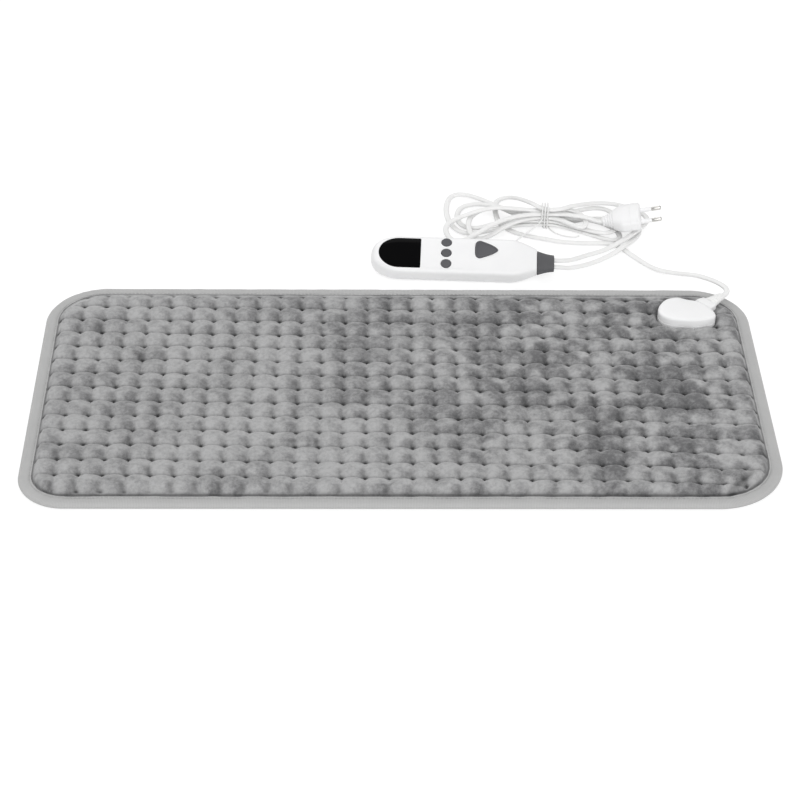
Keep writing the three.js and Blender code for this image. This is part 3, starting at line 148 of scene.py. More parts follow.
class PlugSettings(bpy.types.PropertyGroup):
    x: size("Along the pad", 0.187, "Cord end of the plug")
    y: size("Behind the pad", 0.2523, "Cord end of the plug")
    z: size("Height", 0.0105, "Cord end of the plug")
    yaw: turn("Yaw", -4, "Turn on the table")
    pitch: turn("Pitch", -12, "Upward lean of the pins")
    length: size("Length", 0.0344, "Length of the body")
    half_width: size("Half width", 0.0176, "Half of the body's width")
    half_height: size("Half height", 0.00685, "Half of the body's height")


class FinishSettings(bpy.types.PropertyGroup):
    plush_light: tint("Plush, light", (0.41, 0.41, 0.412), "Nap brushed towards the light")
    plush_dark: tint("Plush, dark", (0.125, 0.125, 0.128), "Nap brushed away from the light")
    binding: tint("Binding", (0.47, 0.47, 0.468), "Knitted binding")
    shell: tint("Shell", (0.86, 0.86, 0.865), "White plastic")
    cord: tint("Cord", (0.84, 0.84, 0.835), "White cord")
    key: tint("Keys", (0.098, 0.098, 0.106), "Rubber keys")
    boot: tint("Boot", (0.095, 0.095, 0.1), "Rubber boot")
    glass: tint("Window", (0.0022, 0.0022, 0.0025), "Display window")
    metal: tint("Metal", (0.66, 0.65, 0.63), "Nickel plate")
    felt: tint("Felt", (0.69, 0.66, 0.58), "Wadding and carrier")
    board: tint("Board", (0.03, 0.11, 0.06), "Circuit board")
    black: tint("Components", (0.012, 0.012, 0.013), "Moulded components")
    brown: tint("Capacitor", (0.2, 0.07, 0.025), "Film capacitor")
    floor: tint("Floor", (0.88, 0.88, 0.88), "Studio floor")


class HeatingPadSettings(bpy.types.PropertyGroup):
    pad: PointerProperty(type=PadSettings)
    socket: PointerProperty(type=SocketSettings)
    controller: PointerProperty(type=ControllerSettings)
    cord: PointerProperty(type=CordSettings)
    plug: PointerProperty(type=PlugSettings)
    finish: PointerProperty(type=FinishSettings)


# Routes of the cords' middles, in metres

MAINS_LEAD = (
    (0.13791, 0.17572, 0.01083), (0.1429, 0.17545, 0.01083), (0.153, 0.179, 0.008),
    (0.1705, 0.1885, 0.0062), (0.184, 0.1985, 0.0056), (0.194, 0.2075, 0.0055),
    (0.2025, 0.2175, 0.0054), (0.21, 0.228, 0.0038), (0.216, 0.2385, 0.002), (0.22, 0.248, 0.0017),
    (0.2195, 0.2575, 0.0017), (0.212, 0.2655, 0.0017), (0.199, 0.2695, 0.0017),
    (0.186, 0.2705, 0.0017), (0.175, 0.27, 0.0017), (0.164, 0.2668, 0.0017),
    (0.1585, 0.2649, 0.00175), (0.153, 0.26385, 0.0023), (0.1478, 0.26375, 0.00268),
)
MAINS_TAIL = (
    (0.1478, 0.25825, 0.014), (0.1528, 0.2581, 0.014), (0.162, 0.2552, 0.0142),
    (0.17, 0.2536, 0.0142), (0.1758, 0.2529, 0.013), (0.1805, 0.2527, 0.0108),
    (0.1838, 0.2525, 0.00985), (0.1867, 0.2523, 0.01044),
)
PAD_CORD = (
    (0.13829, 0.18272, 0.01322), (0.1433, 0.18245, 0.01322), (0.154, 0.189, 0.0098),
    (0.17, 0.2015, 0.007), (0.1835, 0.2095, 0.0064), (0.194, 0.2178, 0.0064),
    (0.2035, 0.227, 0.0064), (0.2135, 0.237, 0.0072), (0.2235, 0.248, 0.0088),
    (0.228, 0.2595, 0.0084), (0.2245, 0.271, 0.0074), (0.2135, 0.28, 0.0076),
    (0.199, 0.2845, 0.009), (0.184, 0.282, 0.0112), (0.1715, 0.2755, 0.014), (0.16, 0.2675, 0.017),
    (0.15, 0.261, 0.018), (0.14, 0.2595, 0.018), (0.132, 0.262, 0.0181), (0.1245, 0.2695, 0.018),
    (0.119, 0.281, 0.014), (0.1135, 0.293, 0.009), (0.107, 0.3015, 0.005), (0.1, 0.3045, 0.0026),
    (0.0935, 0.2995, 0.0017), (0.0915, 0.286, 0.0016), (0.0925, 0.271, 0.0016),
    (0.097, 0.2575, 0.0016), (0.1075, 0.247, 0.0016), (0.1208, 0.2404, 0.0016),
    (0.134, 0.2358, 0.0017), (0.1473, 0.2317, 0.0017), (0.165, 0.2293, 0.0017),
    (0.183, 0.2293, 0.0017), (0.194, 0.2276, 0.0017), (0.2015, 0.2215, 0.0017),
    (0.2085, 0.2114, 0.0017), (0.2204, 0.1955, 0.0017), (0.231, 0.1845, 0.0024),
    (0.243, 0.1765, 0.0046), (0.254, 0.1702, 0.0072),
)
PAD_CORD_END = (
    (0.263, 0.1645, 0.0094), (0.273, 0.156, 0.011), (0.2805, 0.147, 0.0124),
    (0.2846, 0.1385, 0.013), (0.28327, 0.13098, 0.013), (0.27955, 0.12764, 0.013),
)
TIE_START = (
    (0.1065, 0.2265, 0.0048), (0.111, 0.2315, 0.0056), (0.117, 0.238, 0.0064),
    (0.124, 0.245, 0.0072), (0.129, 0.2505, 0.0084),
)
TIE_END = (
    (0.1406, 0.2515, 0.0011), (0.1445, 0.2465, 0.001), (0.15, 0.2428, 0.001),
    (0.156, 0.2406, 0.0011), (0.1615, 0.2394, 0.0014), (0.1655, 0.2406, 0.0022),
)

# The hank's waist, and each loop's reach, shift, back and front bulge, height at mid loop and at
# the tip, as shares of the hank's reach
WAIST = (0.1355, 0.261, 0.0035)
WAIST_COLUMN = 0.0055
WAIST_RUN = 0.012
WAIST_FALL = 0.0008
LEVEL_PITCH = 0.0035
LEFT_LOOPS = (
    (0.89, 0.215, 0.34, 0.295, 0.054, 0.018),
    (0.795, 0.1, 0.23, 0.145, 0.089, 0.018),
    (0.7, -0.105, 0.195, 0.245, 0.1235, 0.065),
    (0.91, -0.18, 0.12, 0.245, 0.163, 0.075),
)
RIGHT_LOOPS = (
    (0.665, -0.2, 0.105, 0.105, 0.017, 0.018),
    (0.65, -0.01, 0.195, 0.18, 0.052, 0.053),
    (0.36, -0.1, 0.1, 0.105, 0.107, 0.105),
)
MID_SHARE, TIP_SHARE, BULGE_SHARE = 0.45, 0.5, 2.6

# Distance between the rings of a cord
CORD_STEP = 0.0013

# The ends of the roll of plush at the near right corner
FOLD_LINE = ((0.2484, -0.1335), (0.2672, -0.113))

# Outlines as shares of their half sizes
SOCKET_SHARES = (
    (0.98, -0.1), (0.92, -0.66), (0.75, -0.93), (0.5, -1), (0, -0.83), (-0.6, -0.37), (-0.95, 0.1),
    (-0.97, 0.47), (-0.72, 0.78), (-0.2, 0.98), (0.13, 0.99), (0.5, 0.82), (0.72, 0.46), (0.9, 0.2),
)
PICK_SHARES = (
    (1, 0), (0.62, 0.42), (-0.2, 0.84), (-0.62, 0.98), (-0.9, 0.8), (-1, 0), (-0.9, -0.8),
    (-0.62, -0.98), (-0.2, -0.84), (0.62, -0.42),
)


# Arithmetic of curves and surfaces

def ease(t):
    """A smooth step: three squares less two cubes, between 0 and 1."""
    t = np.clip(t, 0, 1)
    return t * t * (3 - 2 * t)


def power(value, exponent):
    """The power of a value's size, with the value's sign kept."""
    return np.sign(value) * np.abs(value) ** exponent


def hermite(a, b, slope_a, slope_b, t):
    """The cubic that leaves a along slope_a and reaches b along slope_b, at shares t."""
    t = t[None, :, None]
    a, b, slope_a, slope_b = (v[:, None, :] for v in (a, b, slope_a, slope_b))
    return (
        a * (2 * t**3 - 3 * t**2 + 1)
        + slope_a * (t**3 - 2 * t**2 + t)
        + b * (3 * t**2 - 2 * t**3)
        + slope_b * (t**3 - t**2)
    )


def closed_curve(points, steps):
    """A centripetal Catmull-Rom ring: each span's knots are the square roots of its chords."""
    p1 = np.asarray(points, float)
    p0, p2, p3 = np.roll(p1, 1, 0), np.roll(p1, -1, 0), np.roll(p1, -2, 0)
    spans = (p1 - p0, p2 - p1, p3 - p2)
    d0, d1, d2 = (np.sqrt(np.linalg.norm(span, axis=1))[:, None] for span in spans)
    leave = ((p1 - p0) / d0 - (p2 - p0) / (d0 + d1) + (p2 - p1) / d1) * d1
    reach = ((p2 - p1) / d1 - (p3 - p1) / (d1 + d2) + (p3 - p2) / d2) * d1
    return hermite(p1, p2, leave, reach, np.arange(steps) / steps).reshape(-1, p1.shape[1])


def open_curve(points, steps=24):
    """A uniform Catmull-Rom curve: each point's slope is half its neighbours' difference."""
    p = np.asarray(points, float)
    p = np.vstack([2 * p[0] - p[1], p, 2 * p[-1] - p[-2]])
    leave, reach = (p[2:-1] - p[:-3]) / 2, (p[3:] - p[1:-2]) / 2
    spans = hermite(p[1:-2], p[2:-1], leave, reach, np.arange(steps) / steps)
    return np.vstack([spans.reshape(-1, p.shape[1]), p[-2]])


def distances(points):
    """The distance along a line to each of its points."""
    return np.concatenate([[0], np.cumsum(np.linalg.norm(np.diff(points, axis=0), axis=1))])


def resampled(points, spacing, closed=False):
    """The same line with points at even distances along it."""
    p = np.vstack([points, points[:1]]) if closed else points
    along = distances(p)
    count = max(int(round(along[-1] / spacing)), 2)
    wanted = np.linspace(0, along[-1], count + 1)
    line = np.stack([np.interp(wanted, along, p[:, k]) for k in range(p.shape[1])], 1)
    return line[:-1] if closed else line


def round_angles(sides):
    """Even angles round a full turn."""
    return np.arange(sides) / sides * TAU


def bell(distance, width, steepness=2):
    """One at no distance, and next to nothing past twice the width."""
    return np.exp(-((distance / width) ** steepness))


def at_height(flat, z):
    """The points of a flat outline, all at one height."""
    return np.column_stack([flat, np.full(len(flat), z)])


def smooth_noise(x, y, cell, seed):
    """Random values from -1 to 1 on a square lattice, eased between its points."""
    random = np.random.default_rng(seed)
    table = random.uniform(-1, 1, (NOISE_TABLE, NOISE_TABLE))
    u, v = x / cell + NOISE_ORIGIN[0], y / cell + NOISE_ORIGIN[1]
    i, j = np.floor(u).astype(int), np.floor(v).astype(int)
    s, t = ease(u - i), ease(v - j)
    i, j, i1, j1 = (k % NOISE_TABLE for k in (i, j, i + 1, j + 1))
    near = table[i, j] * (1 - s) + table[i1, j] * s
    far = table[i, j1] * (1 - s) + table[i1, j1] * s
    return near * (1 - t) + far * t


def layered_noise(x, y, cell, seed):
    """Smooth noises of halving cells and weights, added."""
    return sum(smooth_noise(x, y, cell / 2**k, seed + k) / 2**k for k in range(NOISE_LAYERS))


def placing(x, y, z, yaw=0.0, lean=0.0, axis="X"):
    """The matrix that leans a piece about its own axis, turns it on the table and moves it."""
    turning = Matrix.Rotation(yaw, 4, "Z") @ Matrix.Rotation(lean, 4, axis)
    return Matrix.Translation((x, y, z)) @ turning


# Meshes

def grid_corners(rows, columns, wrap_rows, wrap_columns):
    """Row and column of each corner of each quad of a grid, unwrapped past its seams."""
    i, j = np.meshgrid(
        np.arange(rows if wrap_rows else rows - 1),
        np.arange(columns if wrap_columns else columns - 1),
        indexing="ij",
    )
    steps = ((0, 0), (0, 1), (1, 1), (1, 0))
    return np.stack([np.stack([i + a, j + b], -1) for a, b in steps], -2).reshape(-1, 4, 2)


def make_mesh(name, points, quads, triangles, material, corner_uv=None, sharp=SKIN_SHARP):
    """A mesh from whole arrays. Its faces are turned outwards by the sign of its volume."""
    points, quads = np.asarray(points, float), np.asarray(quads, int).reshape(-1, 4)
    triangles = np.asarray(triangles, int).reshape(-1, 3)
    fans = np.vstack([quads[:, [0, 1, 2]], quads[:, [0, 2, 3]], triangles])
    a, b, c = (points[fans[:, k]] for k in range(3))
    if np.einsum("ij,ij->i", a, np.cross(b, c)).sum() < 0:
        quads, triangles = quads[:, ::-1], triangles[:, ::-1]
        corner_uv = None if corner_uv is None else corner_uv[:, ::-1]
    mesh = bpy.data.meshes.new(name)
    mesh.vertices.add(len(points))
    mesh.vertices.foreach_set("co", points.ravel())
    loops = np.concatenate([quads.ravel(), triangles.ravel()])
    quad_starts = np.arange(len(quads)) * 4
    starts = np.concatenate([quad_starts, len(quads) * 4 + np.arange(len(triangles)) * 3])
    mesh.loops.add(len(loops))
    mesh.loops.foreach_set("vertex_index", loops)
    mesh.polygons.add(len(starts))
    mesh.polygons.foreach_set("loop_start", starts)
    mesh.polygons.foreach_set("use_smooth", np.ones(len(starts), bool))
    mesh.update(calc_edges=True)
    mesh.validate()
    if corner_uv is not None:
        layer = mesh.uv_layers.new(name="UVMap")
        flat = np.zeros((len(loops), 2))
        flat[: len(quads) * 4] = corner_uv.reshape(-1, 2)
        layer.data.foreach_set("uv", flat.ravel())
    mesh.set_sharp_from_angle(angle=sharp)
    mesh.materials.append(material)
    piece = bpy.data.objects.new(name, mesh)
    bpy.context.scene.collection.objects.link(piece)
    return piece


def skin(name, grid, material, wrap_rows=False, uv=None):
    """A closed surface of rings: every ring closes on itself, and fans close the two ends."""
    rows, columns = grid.shape[:2]
    corners = grid_corners(rows, columns, wrap_rows, True)
    quads = (corners[..., 0] % rows) * columns + corners[..., 1] % columns
    points, triangles = grid.reshape(-1, 3), []
    if not wrap_rows:
        ring = np.arange(columns)
        middles = np.stack([grid[0].mean(0), grid[-1].mean(0)])
        first, last = (np.full(columns, len(points) + k) for k in (0, 1))
        after, top = (ring + 1) % columns, (rows - 1) * columns
        points = np.vstack([points, middles])
        triangles = np.vstack([
            np.stack([first, after, ring], 1), np.stack([last, ring + top, after + top], 1),
        ])
    corner_uv = None
    if uv is not None:
        corner_uv = np.stack([uv[0][corners[..., 0]], uv[1][corners[..., 1]]], -1)
    return make_mesh(name, points, quads, triangles, material, corner_uv)


def raised(outline, levels):
    """Rings of an outline at each (inset, height), scaled inwards where a share is given too."""
    rings = []
    for inset, z, *share in levels:
        flat = outline(inset)
        middle = flat.mean(0)
        flat = middle + (flat - middle) * (share[0] if share else 1)
        rings.append(at_height(flat, z))
    return np.stack(rings)


def turned(profile, sides=48):
    """A profile of (radius, height) points turned about the vertical."""
    profile = np.asarray(profile, float)
    angle = round_angles(sides)
    radius, height = profile[:, :1], profile[:, 1:]
    return np.stack([radius * np.cos(angle), radius * np.sin(angle), height + 0 * angle], -1)


def oblong(x, half_width, half_height, y, z, squareness, sides=56):
    """A super-ellipse ring across the x axis: powers of the cosine and sine, by the half sizes."""
    angle = round_angles(sides)
    across = power(np.cos(angle), 2 / squareness)
    up = power(np.sin(angle), 2 / squareness)
    return np.column_stack([np.full(sides, x), y + half_width * across, z + half_height * up])


def frames_along(path, level):
    """Two normals of a path, of which the first is kept level or is carried along without twist."""
    tangent = np.gradient(path, axis=0)
    tangent /= np.linalg.norm(tangent, axis=1)[:, None]
    normal = np.column_stack([-tangent[:, 1], tangent[:, 0], np.zeros(len(path))])
    normal /= np.maximum(np.linalg.norm(normal, axis=1)[:, None], 1e-9)
    if not level:
        for k in range(1, len(path)):
            carried = normal[k - 1] - tangent[k] * (normal[k - 1] @ tangent[k])
            normal[k] = carried / np.linalg.norm(carried)
    return normal, np.cross(tangent, normal)


def swept(path, section, level=True):
    """A section of (across, up) points carried along a path."""
    normal, upward = frames_along(path, level)
    across, up = section[None, :, :1], section[None, :, 1:]
    return path[:, None] + across * normal[:, None] + up * upward[:, None]


def twin_section(width, thickness, sides=24):
    """A flat twin cord: a squarish oval with a shallow groove down each broad face."""
    angle = round_angles(sides)
    squareness, groove_depth, groove_width = 0.8, 0.17, 0.11 * width
    across = width / 2 * power(np.cos(angle), squareness)
    up = thickness / 2 * power(np.sin(angle), squareness)
    groove = 1 - groove_depth * bell(across, groove_width)
    return np.column_stack([across, up * groove])


def round_section(radius, sides=12):
    angle = round_angles(sides)
    return radius * np.column_stack([np.cos(angle), np.sin(angle)])


def cut(piece, cutters, operation="DIFFERENCE"):
    """Cuts a piece with others, which go, and keeps the result as its mesh."""
    for cutter in cutters:
        step = piece.modifiers.new("cut", "BOOLEAN")
        step.operation, step.object, step.solver = operation, cutter, "EXACT"
    graph = bpy.context.evaluated_depsgraph_get()
    mesh = bpy.data.meshes.new_from_object(piece.evaluated_get(graph))
    piece.modifiers.clear()
    mesh.name = piece.name
    piece.data = mesh
    mesh.set_sharp_from_angle(angle=CUT_SHARP)
    for cutter in cutters:
        bpy.data.objects.remove(cutter)
    return piece


def prism(name, flat, low, high, material=None):
    """A flat outline stretched from one height to another."""
    return skin(name, np.stack([at_height(flat, z) for z in (low, high)]), material)


def block(name, low, high):
    """A box between two corners, for cutting."""
    ring = np.array([(0, 0), (1, 0), (1, 1), (0, 1)])
    corner, reach = np.array(low[:2]), np.array(high[:2]) - low[:2]
    return prism(name, corner + ring * reach, low[2], high[2])


def settle(piece, body, slot, *nodes, place=None):
    """Moves a piece to its place if one is given, puts it on its body, and names its finish and the
    solids that it stands for."""
    if place is not None:
        piece.data.transform(place)
    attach(piece, body)
    if nodes:
        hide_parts(*nodes)
    return piece


# Shader groups and materials

def feed(tree, target, inputs):
    """Links a node's inputs to other nodes' outputs, or sets their values."""
    for key, value in inputs.items():
        if hasattr(value, "is_output"):
            tree.links.new(value, target.inputs[key])
        else:
            target.inputs[key].default_value = value


def node(tree, kind, inputs=None, **settings):
    made = tree.nodes.new(kind)
    for key, value in settings.items():
        setattr(made, key, value)
    feed(tree, made, inputs or {})
    return made


def maths(tree, operation, first, second=0.0):
    return node(tree, "ShaderNodeMath", {0: first, 1: second}, operation=operation).outputs[0]


def blended(tree, share, first, second):
    inputs = {"Fac": share, "Color1": first, "Color2": second}
    return node(tree, "ShaderNodeMixRGB", inputs).outputs[0]


def cloudiness(tree, vector, scale, detail, **more):
    inputs = {"Vector": vector, "Scale": scale, "Detail": detail, **more}
    return node(tree, "ShaderNodeTexNoise", inputs).outputs["Fac"]


def effect(name, inputs, outputs, build):
    """A shader node group with named sockets, built once."""
    if name in bpy.data.node_groups:
        return bpy.data.node_groups[name]
    tree = bpy.data.node_groups.new(name, "ShaderNodeTree")
    for label, kind, default in inputs:
        socket = tree.interface.new_socket(name=label, in_out="INPUT", socket_type=kind)
        if default is not None:
            socket.default_value = default
    for label, kind in outputs:
        tree.interface.new_socket(name=label, in_out="OUTPUT", socket_type=kind)
    given, wanted = tree.nodes.new("NodeGroupInput"), tree.nodes.new("NodeGroupOutput")
    build(tree, given.outputs, wanted)
    return tree


def grain_effect():
    """Height of a fine moulded or fibrous grain: two noises, the second at a third of the scale."""
    def build(tree, given, wanted):
        third = maths(tree, "MULTIPLY", given["Scale"], 0.33)
        fine = cloudiness(tree, given["Vector"], given["Scale"], 3.0)
        broad = cloudiness(tree, given["Vector"], third, 2.0)
        total = maths(tree, "ADD", fine, broad)
        tree.links.new(maths(tree, "MULTIPLY", total, given["Amount"]), wanted.inputs["Height"])
    return effect(
        "fine_grain",
        [
            ("Vector", "NodeSocketVector", None), ("Scale", "NodeSocketFloat", 900.0),
            ("Amount", "NodeSocketFloat", 0.5),
        ],
        [("Height", "NodeSocketFloat")],
        build,
    )


def mottle_effect():
    """A soft cloudy mask from 0 to 1 for handling marks and uneven colour."""
    def build(tree, given, wanted):
        cloud = cloudiness(tree, given["Vector"], given["Scale"], 4.0)
        spread = node(tree, "ShaderNodeMapRange", {
            "Value": cloud, "From Min": 0.35, "From Max": 0.65, "To Min": 0.0, "To Max": 1.0,
        })
        tree.links.new(spread.outputs[0], wanted.inputs["Mask"])
    return effect(
        "mottle",
        [("Vector", "NodeSocketVector", None), ("Scale", "NodeSocketFloat", 40.0)],
        [("Mask", "NodeSocketFloat")],
        build,
    )


def new_material(name, roughness):
    material = bpy.data.materials.new(name)
    material.use_nodes = True
    tree = material.node_tree
    shader = tree.nodes["Principled BSDF"]
    shader.inputs["Roughness"].default_value = roughness
    return tree, shader


def grouped(tree, group, inputs):
    made = node(tree, "ShaderNodeGroup")
    made.node_tree = group
    feed(tree, made, inputs)
    return made.outputs[0]


def rgba(colour, factor=1.0):
    return (colour[0] * factor, colour[1] * factor, colour[2] * factor, 1.0)


def bump(tree, shader, height, distance, strength):
    inputs = {"Height": height, "Distance": distance, "Strength": strength}
    feed(tree, shader, {"Normal": node(tree, "ShaderNodeBump", inputs).outputs["Normal"]})


def moulded(name, colour, roughness, scale, depth, strength, uneven, coat=0.0, shine=0.5):
    """Moulded plastic, rubber or glass: cloudy colour and gloss over a fine grain."""
    tree, shader = new_material(name, roughness)
    place = node(tree, "ShaderNodeTexCoord").outputs["Object"]
    mask = grouped(tree, mottle_effect(), {"Vector": place, "Scale": 55.0})
    gloss = node(tree, "ShaderNodeMapRange", {
        "Value": mask, "To Min": max(roughness - 0.05, 0.02), "To Max": roughness + 0.06,
    })
    height = grouped(tree, grain_effect(), {"Vector": place, "Scale": scale, "Amount": 0.5})
    bump(tree, shader, height, depth, strength)
    feed(tree, shader, {
        "Base Color": blended(tree, mask, rgba(colour, 1 - uneven), rgba(colour)),
        "Roughness": gloss.outputs[0], "Specular IOR Level": shine,
        "Coat Weight": coat, "Coat Roughness": 0.08,
    })


def plated(name, colour):
    """Nickel plate: a fine drawn streak along the pins."""
    tree, shader = new_material(name, 0.22)
    place = node(tree, "ShaderNodeTexCoord").outputs["Object"]
    stretch = node(tree, "ShaderNodeMapping", {"Vector": place, "Scale": (300.0, 3000.0, 3000.0)})
    streak = cloudiness(tree, stretch.outputs[0], 1.0, 3.0)
    gloss = node(tree, "ShaderNodeMapRange", {"Value": streak, "To Min": 0.16, "To Max": 0.32})
    bump(tree, shader, streak, 0.00001, 0.15)
    feed(tree, shader, {
        "Base Color": blended(tree, streak, rgba(colour, 0.85), rgba(colour)),
        "Roughness": gloss.outputs[0], "Metallic": 1.0,
    })


def plush(name, light, dark):
    """Short plush: its nap lies in light and dark patches, and the sewn hollows are darkest."""
    tree, shader = new_material(name, 0.92)
    place = node(tree, "ShaderNodeTexCoord").outputs["Object"]
    # Patches of the pile, with painted shade and light on the two sides of each puff
    nap = node(tree, "ShaderNodeAttribute", attribute_name="nap").outputs["Fac"]
    # Painted shade in the tufts, along the rows' creases and at the binding's seam
    hollow = node(tree, "ShaderNodeAttribute", attribute_name="hollow").outputs["Fac"]
    tuft = cloudiness(tree, place, 330.0, 6.0, Roughness=0.7)
    ragged = maths(tree, "MULTIPLY", maths(tree, "SUBTRACT", tuft, 0.5), 1.5)
    share = node(tree, "ShaderNodeClamp", {"Value": maths(tree, "ADD", nap, ragged)}).outputs[0]
    base = blended(tree, share, rgba(light), rgba(dark))
    # The painted shade darkens the plush towards a near black
    shade_amount = maths(tree, "MULTIPLY", hollow, 0.95)
    fibre = grouped(tree, grain_effect(), {"Vector": place, "Scale": 1900.0, "Amount": 0.5})
    bump(tree, shader, fibre, 0.00035, 0.55)
    feed(tree, shader, {
        "Base Color": blended(tree, shade_amount, base, rgba(dark, 0.16)),
        "Sheen Weight": 0.35, "Sheen Roughness": 0.45, "Specular IOR Level": 0.15,
    })


def knitted(name, colour):
    """Ribbed knit: bands of yarn across the strip, broken by the stitches along it."""
    tree, shader = new_material(name, 0.88)
    strip = node(tree, "ShaderNodeUVMap", uv_map="UVMap").outputs["UV"]
    place = node(tree, "ShaderNodeTexCoord").outputs["Object"]
    ribs = node(
        tree, "ShaderNodeTexWave",
        {"Vector": strip, "Scale": 262.0, "Distortion": 1.4, "Detail": 1.0, "Detail Scale": 0.4},
        bands_direction="X",
    )
    loops = node(
        tree, "ShaderNodeTexWave",
        {"Vector": strip, "Scale": 400.0, "Distortion": 0.8}, bands_direction="Y",
    )
    across = maths(tree, "MULTIPLY", loops.outputs["Fac"], 0.35)
    yarn = maths(tree, "ADD", ribs.outputs["Fac"], across)
    wear = grouped(tree, mottle_effect(), {"Vector": place, "Scale": 60.0})
    # Painted shade: the yarn is darker where it lies low between the ribs and loops
    relief = maths(tree, "MULTIPLY", yarn, 0.75)
    tone = blended(tree, relief, rgba(colour, 0.86), rgba(colour, 1.06))
    bump(tree, shader, yarn, 0.0002, 0.4)
    feed(tree, shader, {
        "Base Color": blended(tree, maths(tree, "MULTIPLY", wear, 0.2), tone, rgba(colour, 0.8)),
        "Sheen Weight": 0.2, "Specular IOR Level": 0.15,
    })


# Each moulded finish: its colour's name, roughness, grain's scale, depth and strength, unevenness
# of colour, coat and shine
MOULDED = {
    "felt_cream": ("felt", 0.95, 700.0, 0.0003, 0.6, 0.15),
    "shell_white": ("shell", 0.36, 1800.0, 0.00002, 0.2, 0.02, 0.12),
    "cord_white": ("cord", 0.42, 1500.0, 0.00003, 0.25, 0.03, 0.05),
    "key_grey": ("key", 0.55, 2600.0, 0.00003, 0.3, 0.1, 0.0, 0.3),
    "boot_grey": ("boot", 0.5, 2600.0, 0.00003, 0.3, 0.1, 0.0, 0.3),
    "window_black": ("glass", 0.09, 300.0, 0.000005, 0.05, 0.1, 0.0, 0.035),
    "board_green": ("board", 0.4, 900.0, 0.00005, 0.3, 0.2),
    "component_black": ("black", 0.5, 1500.0, 0.00005, 0.3, 0.1),
    "capacitor_brown": ("brown", 0.35, 900.0, 0.00005, 0.2, 0.15),
}


def finish_of(slot):
    """The material of a slot, made when it is first asked for."""
    name, finish = "finish_" + slot, bpy.context.scene.heating_pad.finish
    if name not in bpy.data.materials:
        if slot == "plush_grey":
            plush(name, finish.plush_light, finish.plush_dark)
        elif slot == "binding_grey":
            knitted(name, finish.binding)
        elif slot == "metal":
            plated(name, finish.metal)
        else:
            colour, *values = MOULDED[slot]
            moulded(name, getattr(finish, colour), *values)
    return bpy.data.materials[name]


# Cords

def lobe(shares, angle, side, waist_z, climb, reach_unit):
    """A loop's points: reach times the turn's cosine, and a width that grows with its square."""
    reach, shift, back, front, middle, tip = (s * reach_unit for s in shares)
    out, across = np.abs(np.cos(angle)), np.sin(angle)
    bulge = np.where(across > 0, back, front)
    y = WAIST[1] + shift * out**2 + across * (WAIST_COLUMN / 2 + BULGE_SHARE * bulge * out**2)
    rise = (middle + climb - waist_z) * ease(out / MID_SHARE)
    fall = (tip - middle - climb) * ease((out - MID_SHARE) / TIP_SHARE)
    return np.stack([WAIST[0] + side * reach * out, y, waist_z + rise + fall], 1)


def hank_path(reach_unit, steps=60):
    """The wound part of the mains cord: left and right loops in turn, each turn a level higher."""
    parts = []
    for level, left in enumerate(LEFT_LOOPS):
        waist_z = WAIST[2] + level * LEVEL_PITCH
        angle = QUARTER + math.pi * np.arange(steps + 1) / steps
        parts.append(lobe(left, angle, -1, waist_z, 0.0, reach_unit))
        if level < len(RIGHT_LOOPS):
            angle = 3 * QUARTER + math.pi * np.arange(1, steps) / steps
            climb = np.where(np.sin(angle) > 0, LEVEL_PITCH, 0.0)
            parts.append(lobe(RIGHT_LOOPS[level], angle, 1, waist_z + climb, climb, reach_unit))
    path = np.vstack(parts)
    start = path[:1] + [[WAIST_RUN, 0, -WAIST_FALL]]
    return np.vstack([start, path, path[-1:] + [[WAIST_RUN, 0, 0]]])


def lengthened(path, start=0.0, end=0.0):
    """A path with its ends run on straight, into what holds them."""
    first, last = path[0] - path[1], path[-1] - path[-2]
    head = path[0] + first / np.linalg.norm(first) * start
    tail = path[-1] + last / np.linalg.norm(last) * end
    return np.vstack([head[None], path, tail[None]])


def tie_path():
    """The twist tie: a free end, turns of a squarish ring round the waist, and the other end."""
    turns, pitch, low, high, radius, sides = 2.85, 0.0025, 0.00005, 0.0216, 0.0007, 64
    step = np.arange(int(turns * sides) + 1) / sides
    angle = math.pi * (1 - 2 * step)
    half_height, half_width, corner = (high - low) / 2 - radius, 0.0071, 2 / 7
    ring = np.stack([
        WAIST[0] - turns * pitch / 2 + pitch * step,
        WAIST[1] + half_width * power(np.cos(angle), corner),
        (low + high) / 2 + half_height * power(np.sin(angle), corner),
    ], 1)
    return resampled(np.vstack([open_curve(TIE_START), ring, open_curve(TIE_END)]), 0.0006)


# The pad

def corner_radii(pad):
    return {
        (1, -1): pad.near_right, (1, 1): pad.far_right,
        (-1, 1): pad.far_left, (-1, -1): pad.near_left,
    }


def edge_line(pad, spacing):
    """Points of the pad's outer edge, their outward directions and the distance along it."""
    points, outward = [], []
    for corner, ((sx, sy), radius) in enumerate(corner_radii(pad).items()):
        angle = (corner - 1) * QUARTER + QUARTER * np.arange(0, 1.0001, 1 / 48)
        away = np.stack([np.cos(angle), np.sin(angle)], 1)
        middle = np.array([sx * (pad.length / 2 - radius), sy * (pad.depth / 2 - radius)])
        points.append(middle + radius * away)
        outward.append(away)
    both = np.hstack([np.vstack(points), np.vstack(outward)])
    closed = np.vstack([both, both[:1]])
    along = distances(closed[:, :2])
    count = int(along[-1] / spacing)
    wanted = np.arange(count) * along[-1] / count
    line = np.stack([np.interp(wanted, along, closed[:, k]) for k in range(4)], 1)
    away = line[:, 2:] / np.linalg.norm(line[:, 2:], axis=1)[:, None]
    return line[:, :2], away, np.append(wanted, along[-1])


def depth_inside(pad, x, y, inset):
    """Distance of a point inside the pad's rounded outline, drawn in by an inset."""
    near = np.where(x > 0, pad.near_right, pad.near_left)
    far = np.where(x > 0, pad.far_right, pad.far_left)
    radius = np.where(y > 0, far, near) - inset
    over_x = np.abs(x) - (pad.length / 2 - inset - radius)
    over_y = np.abs(y) - (pad.depth / 2 - inset - radius)
    outside = np.hypot(np.maximum(over_x, 0), np.maximum(over_y, 0))
    return radius - outside - np.minimum(np.maximum(over_x, over_y), 0)


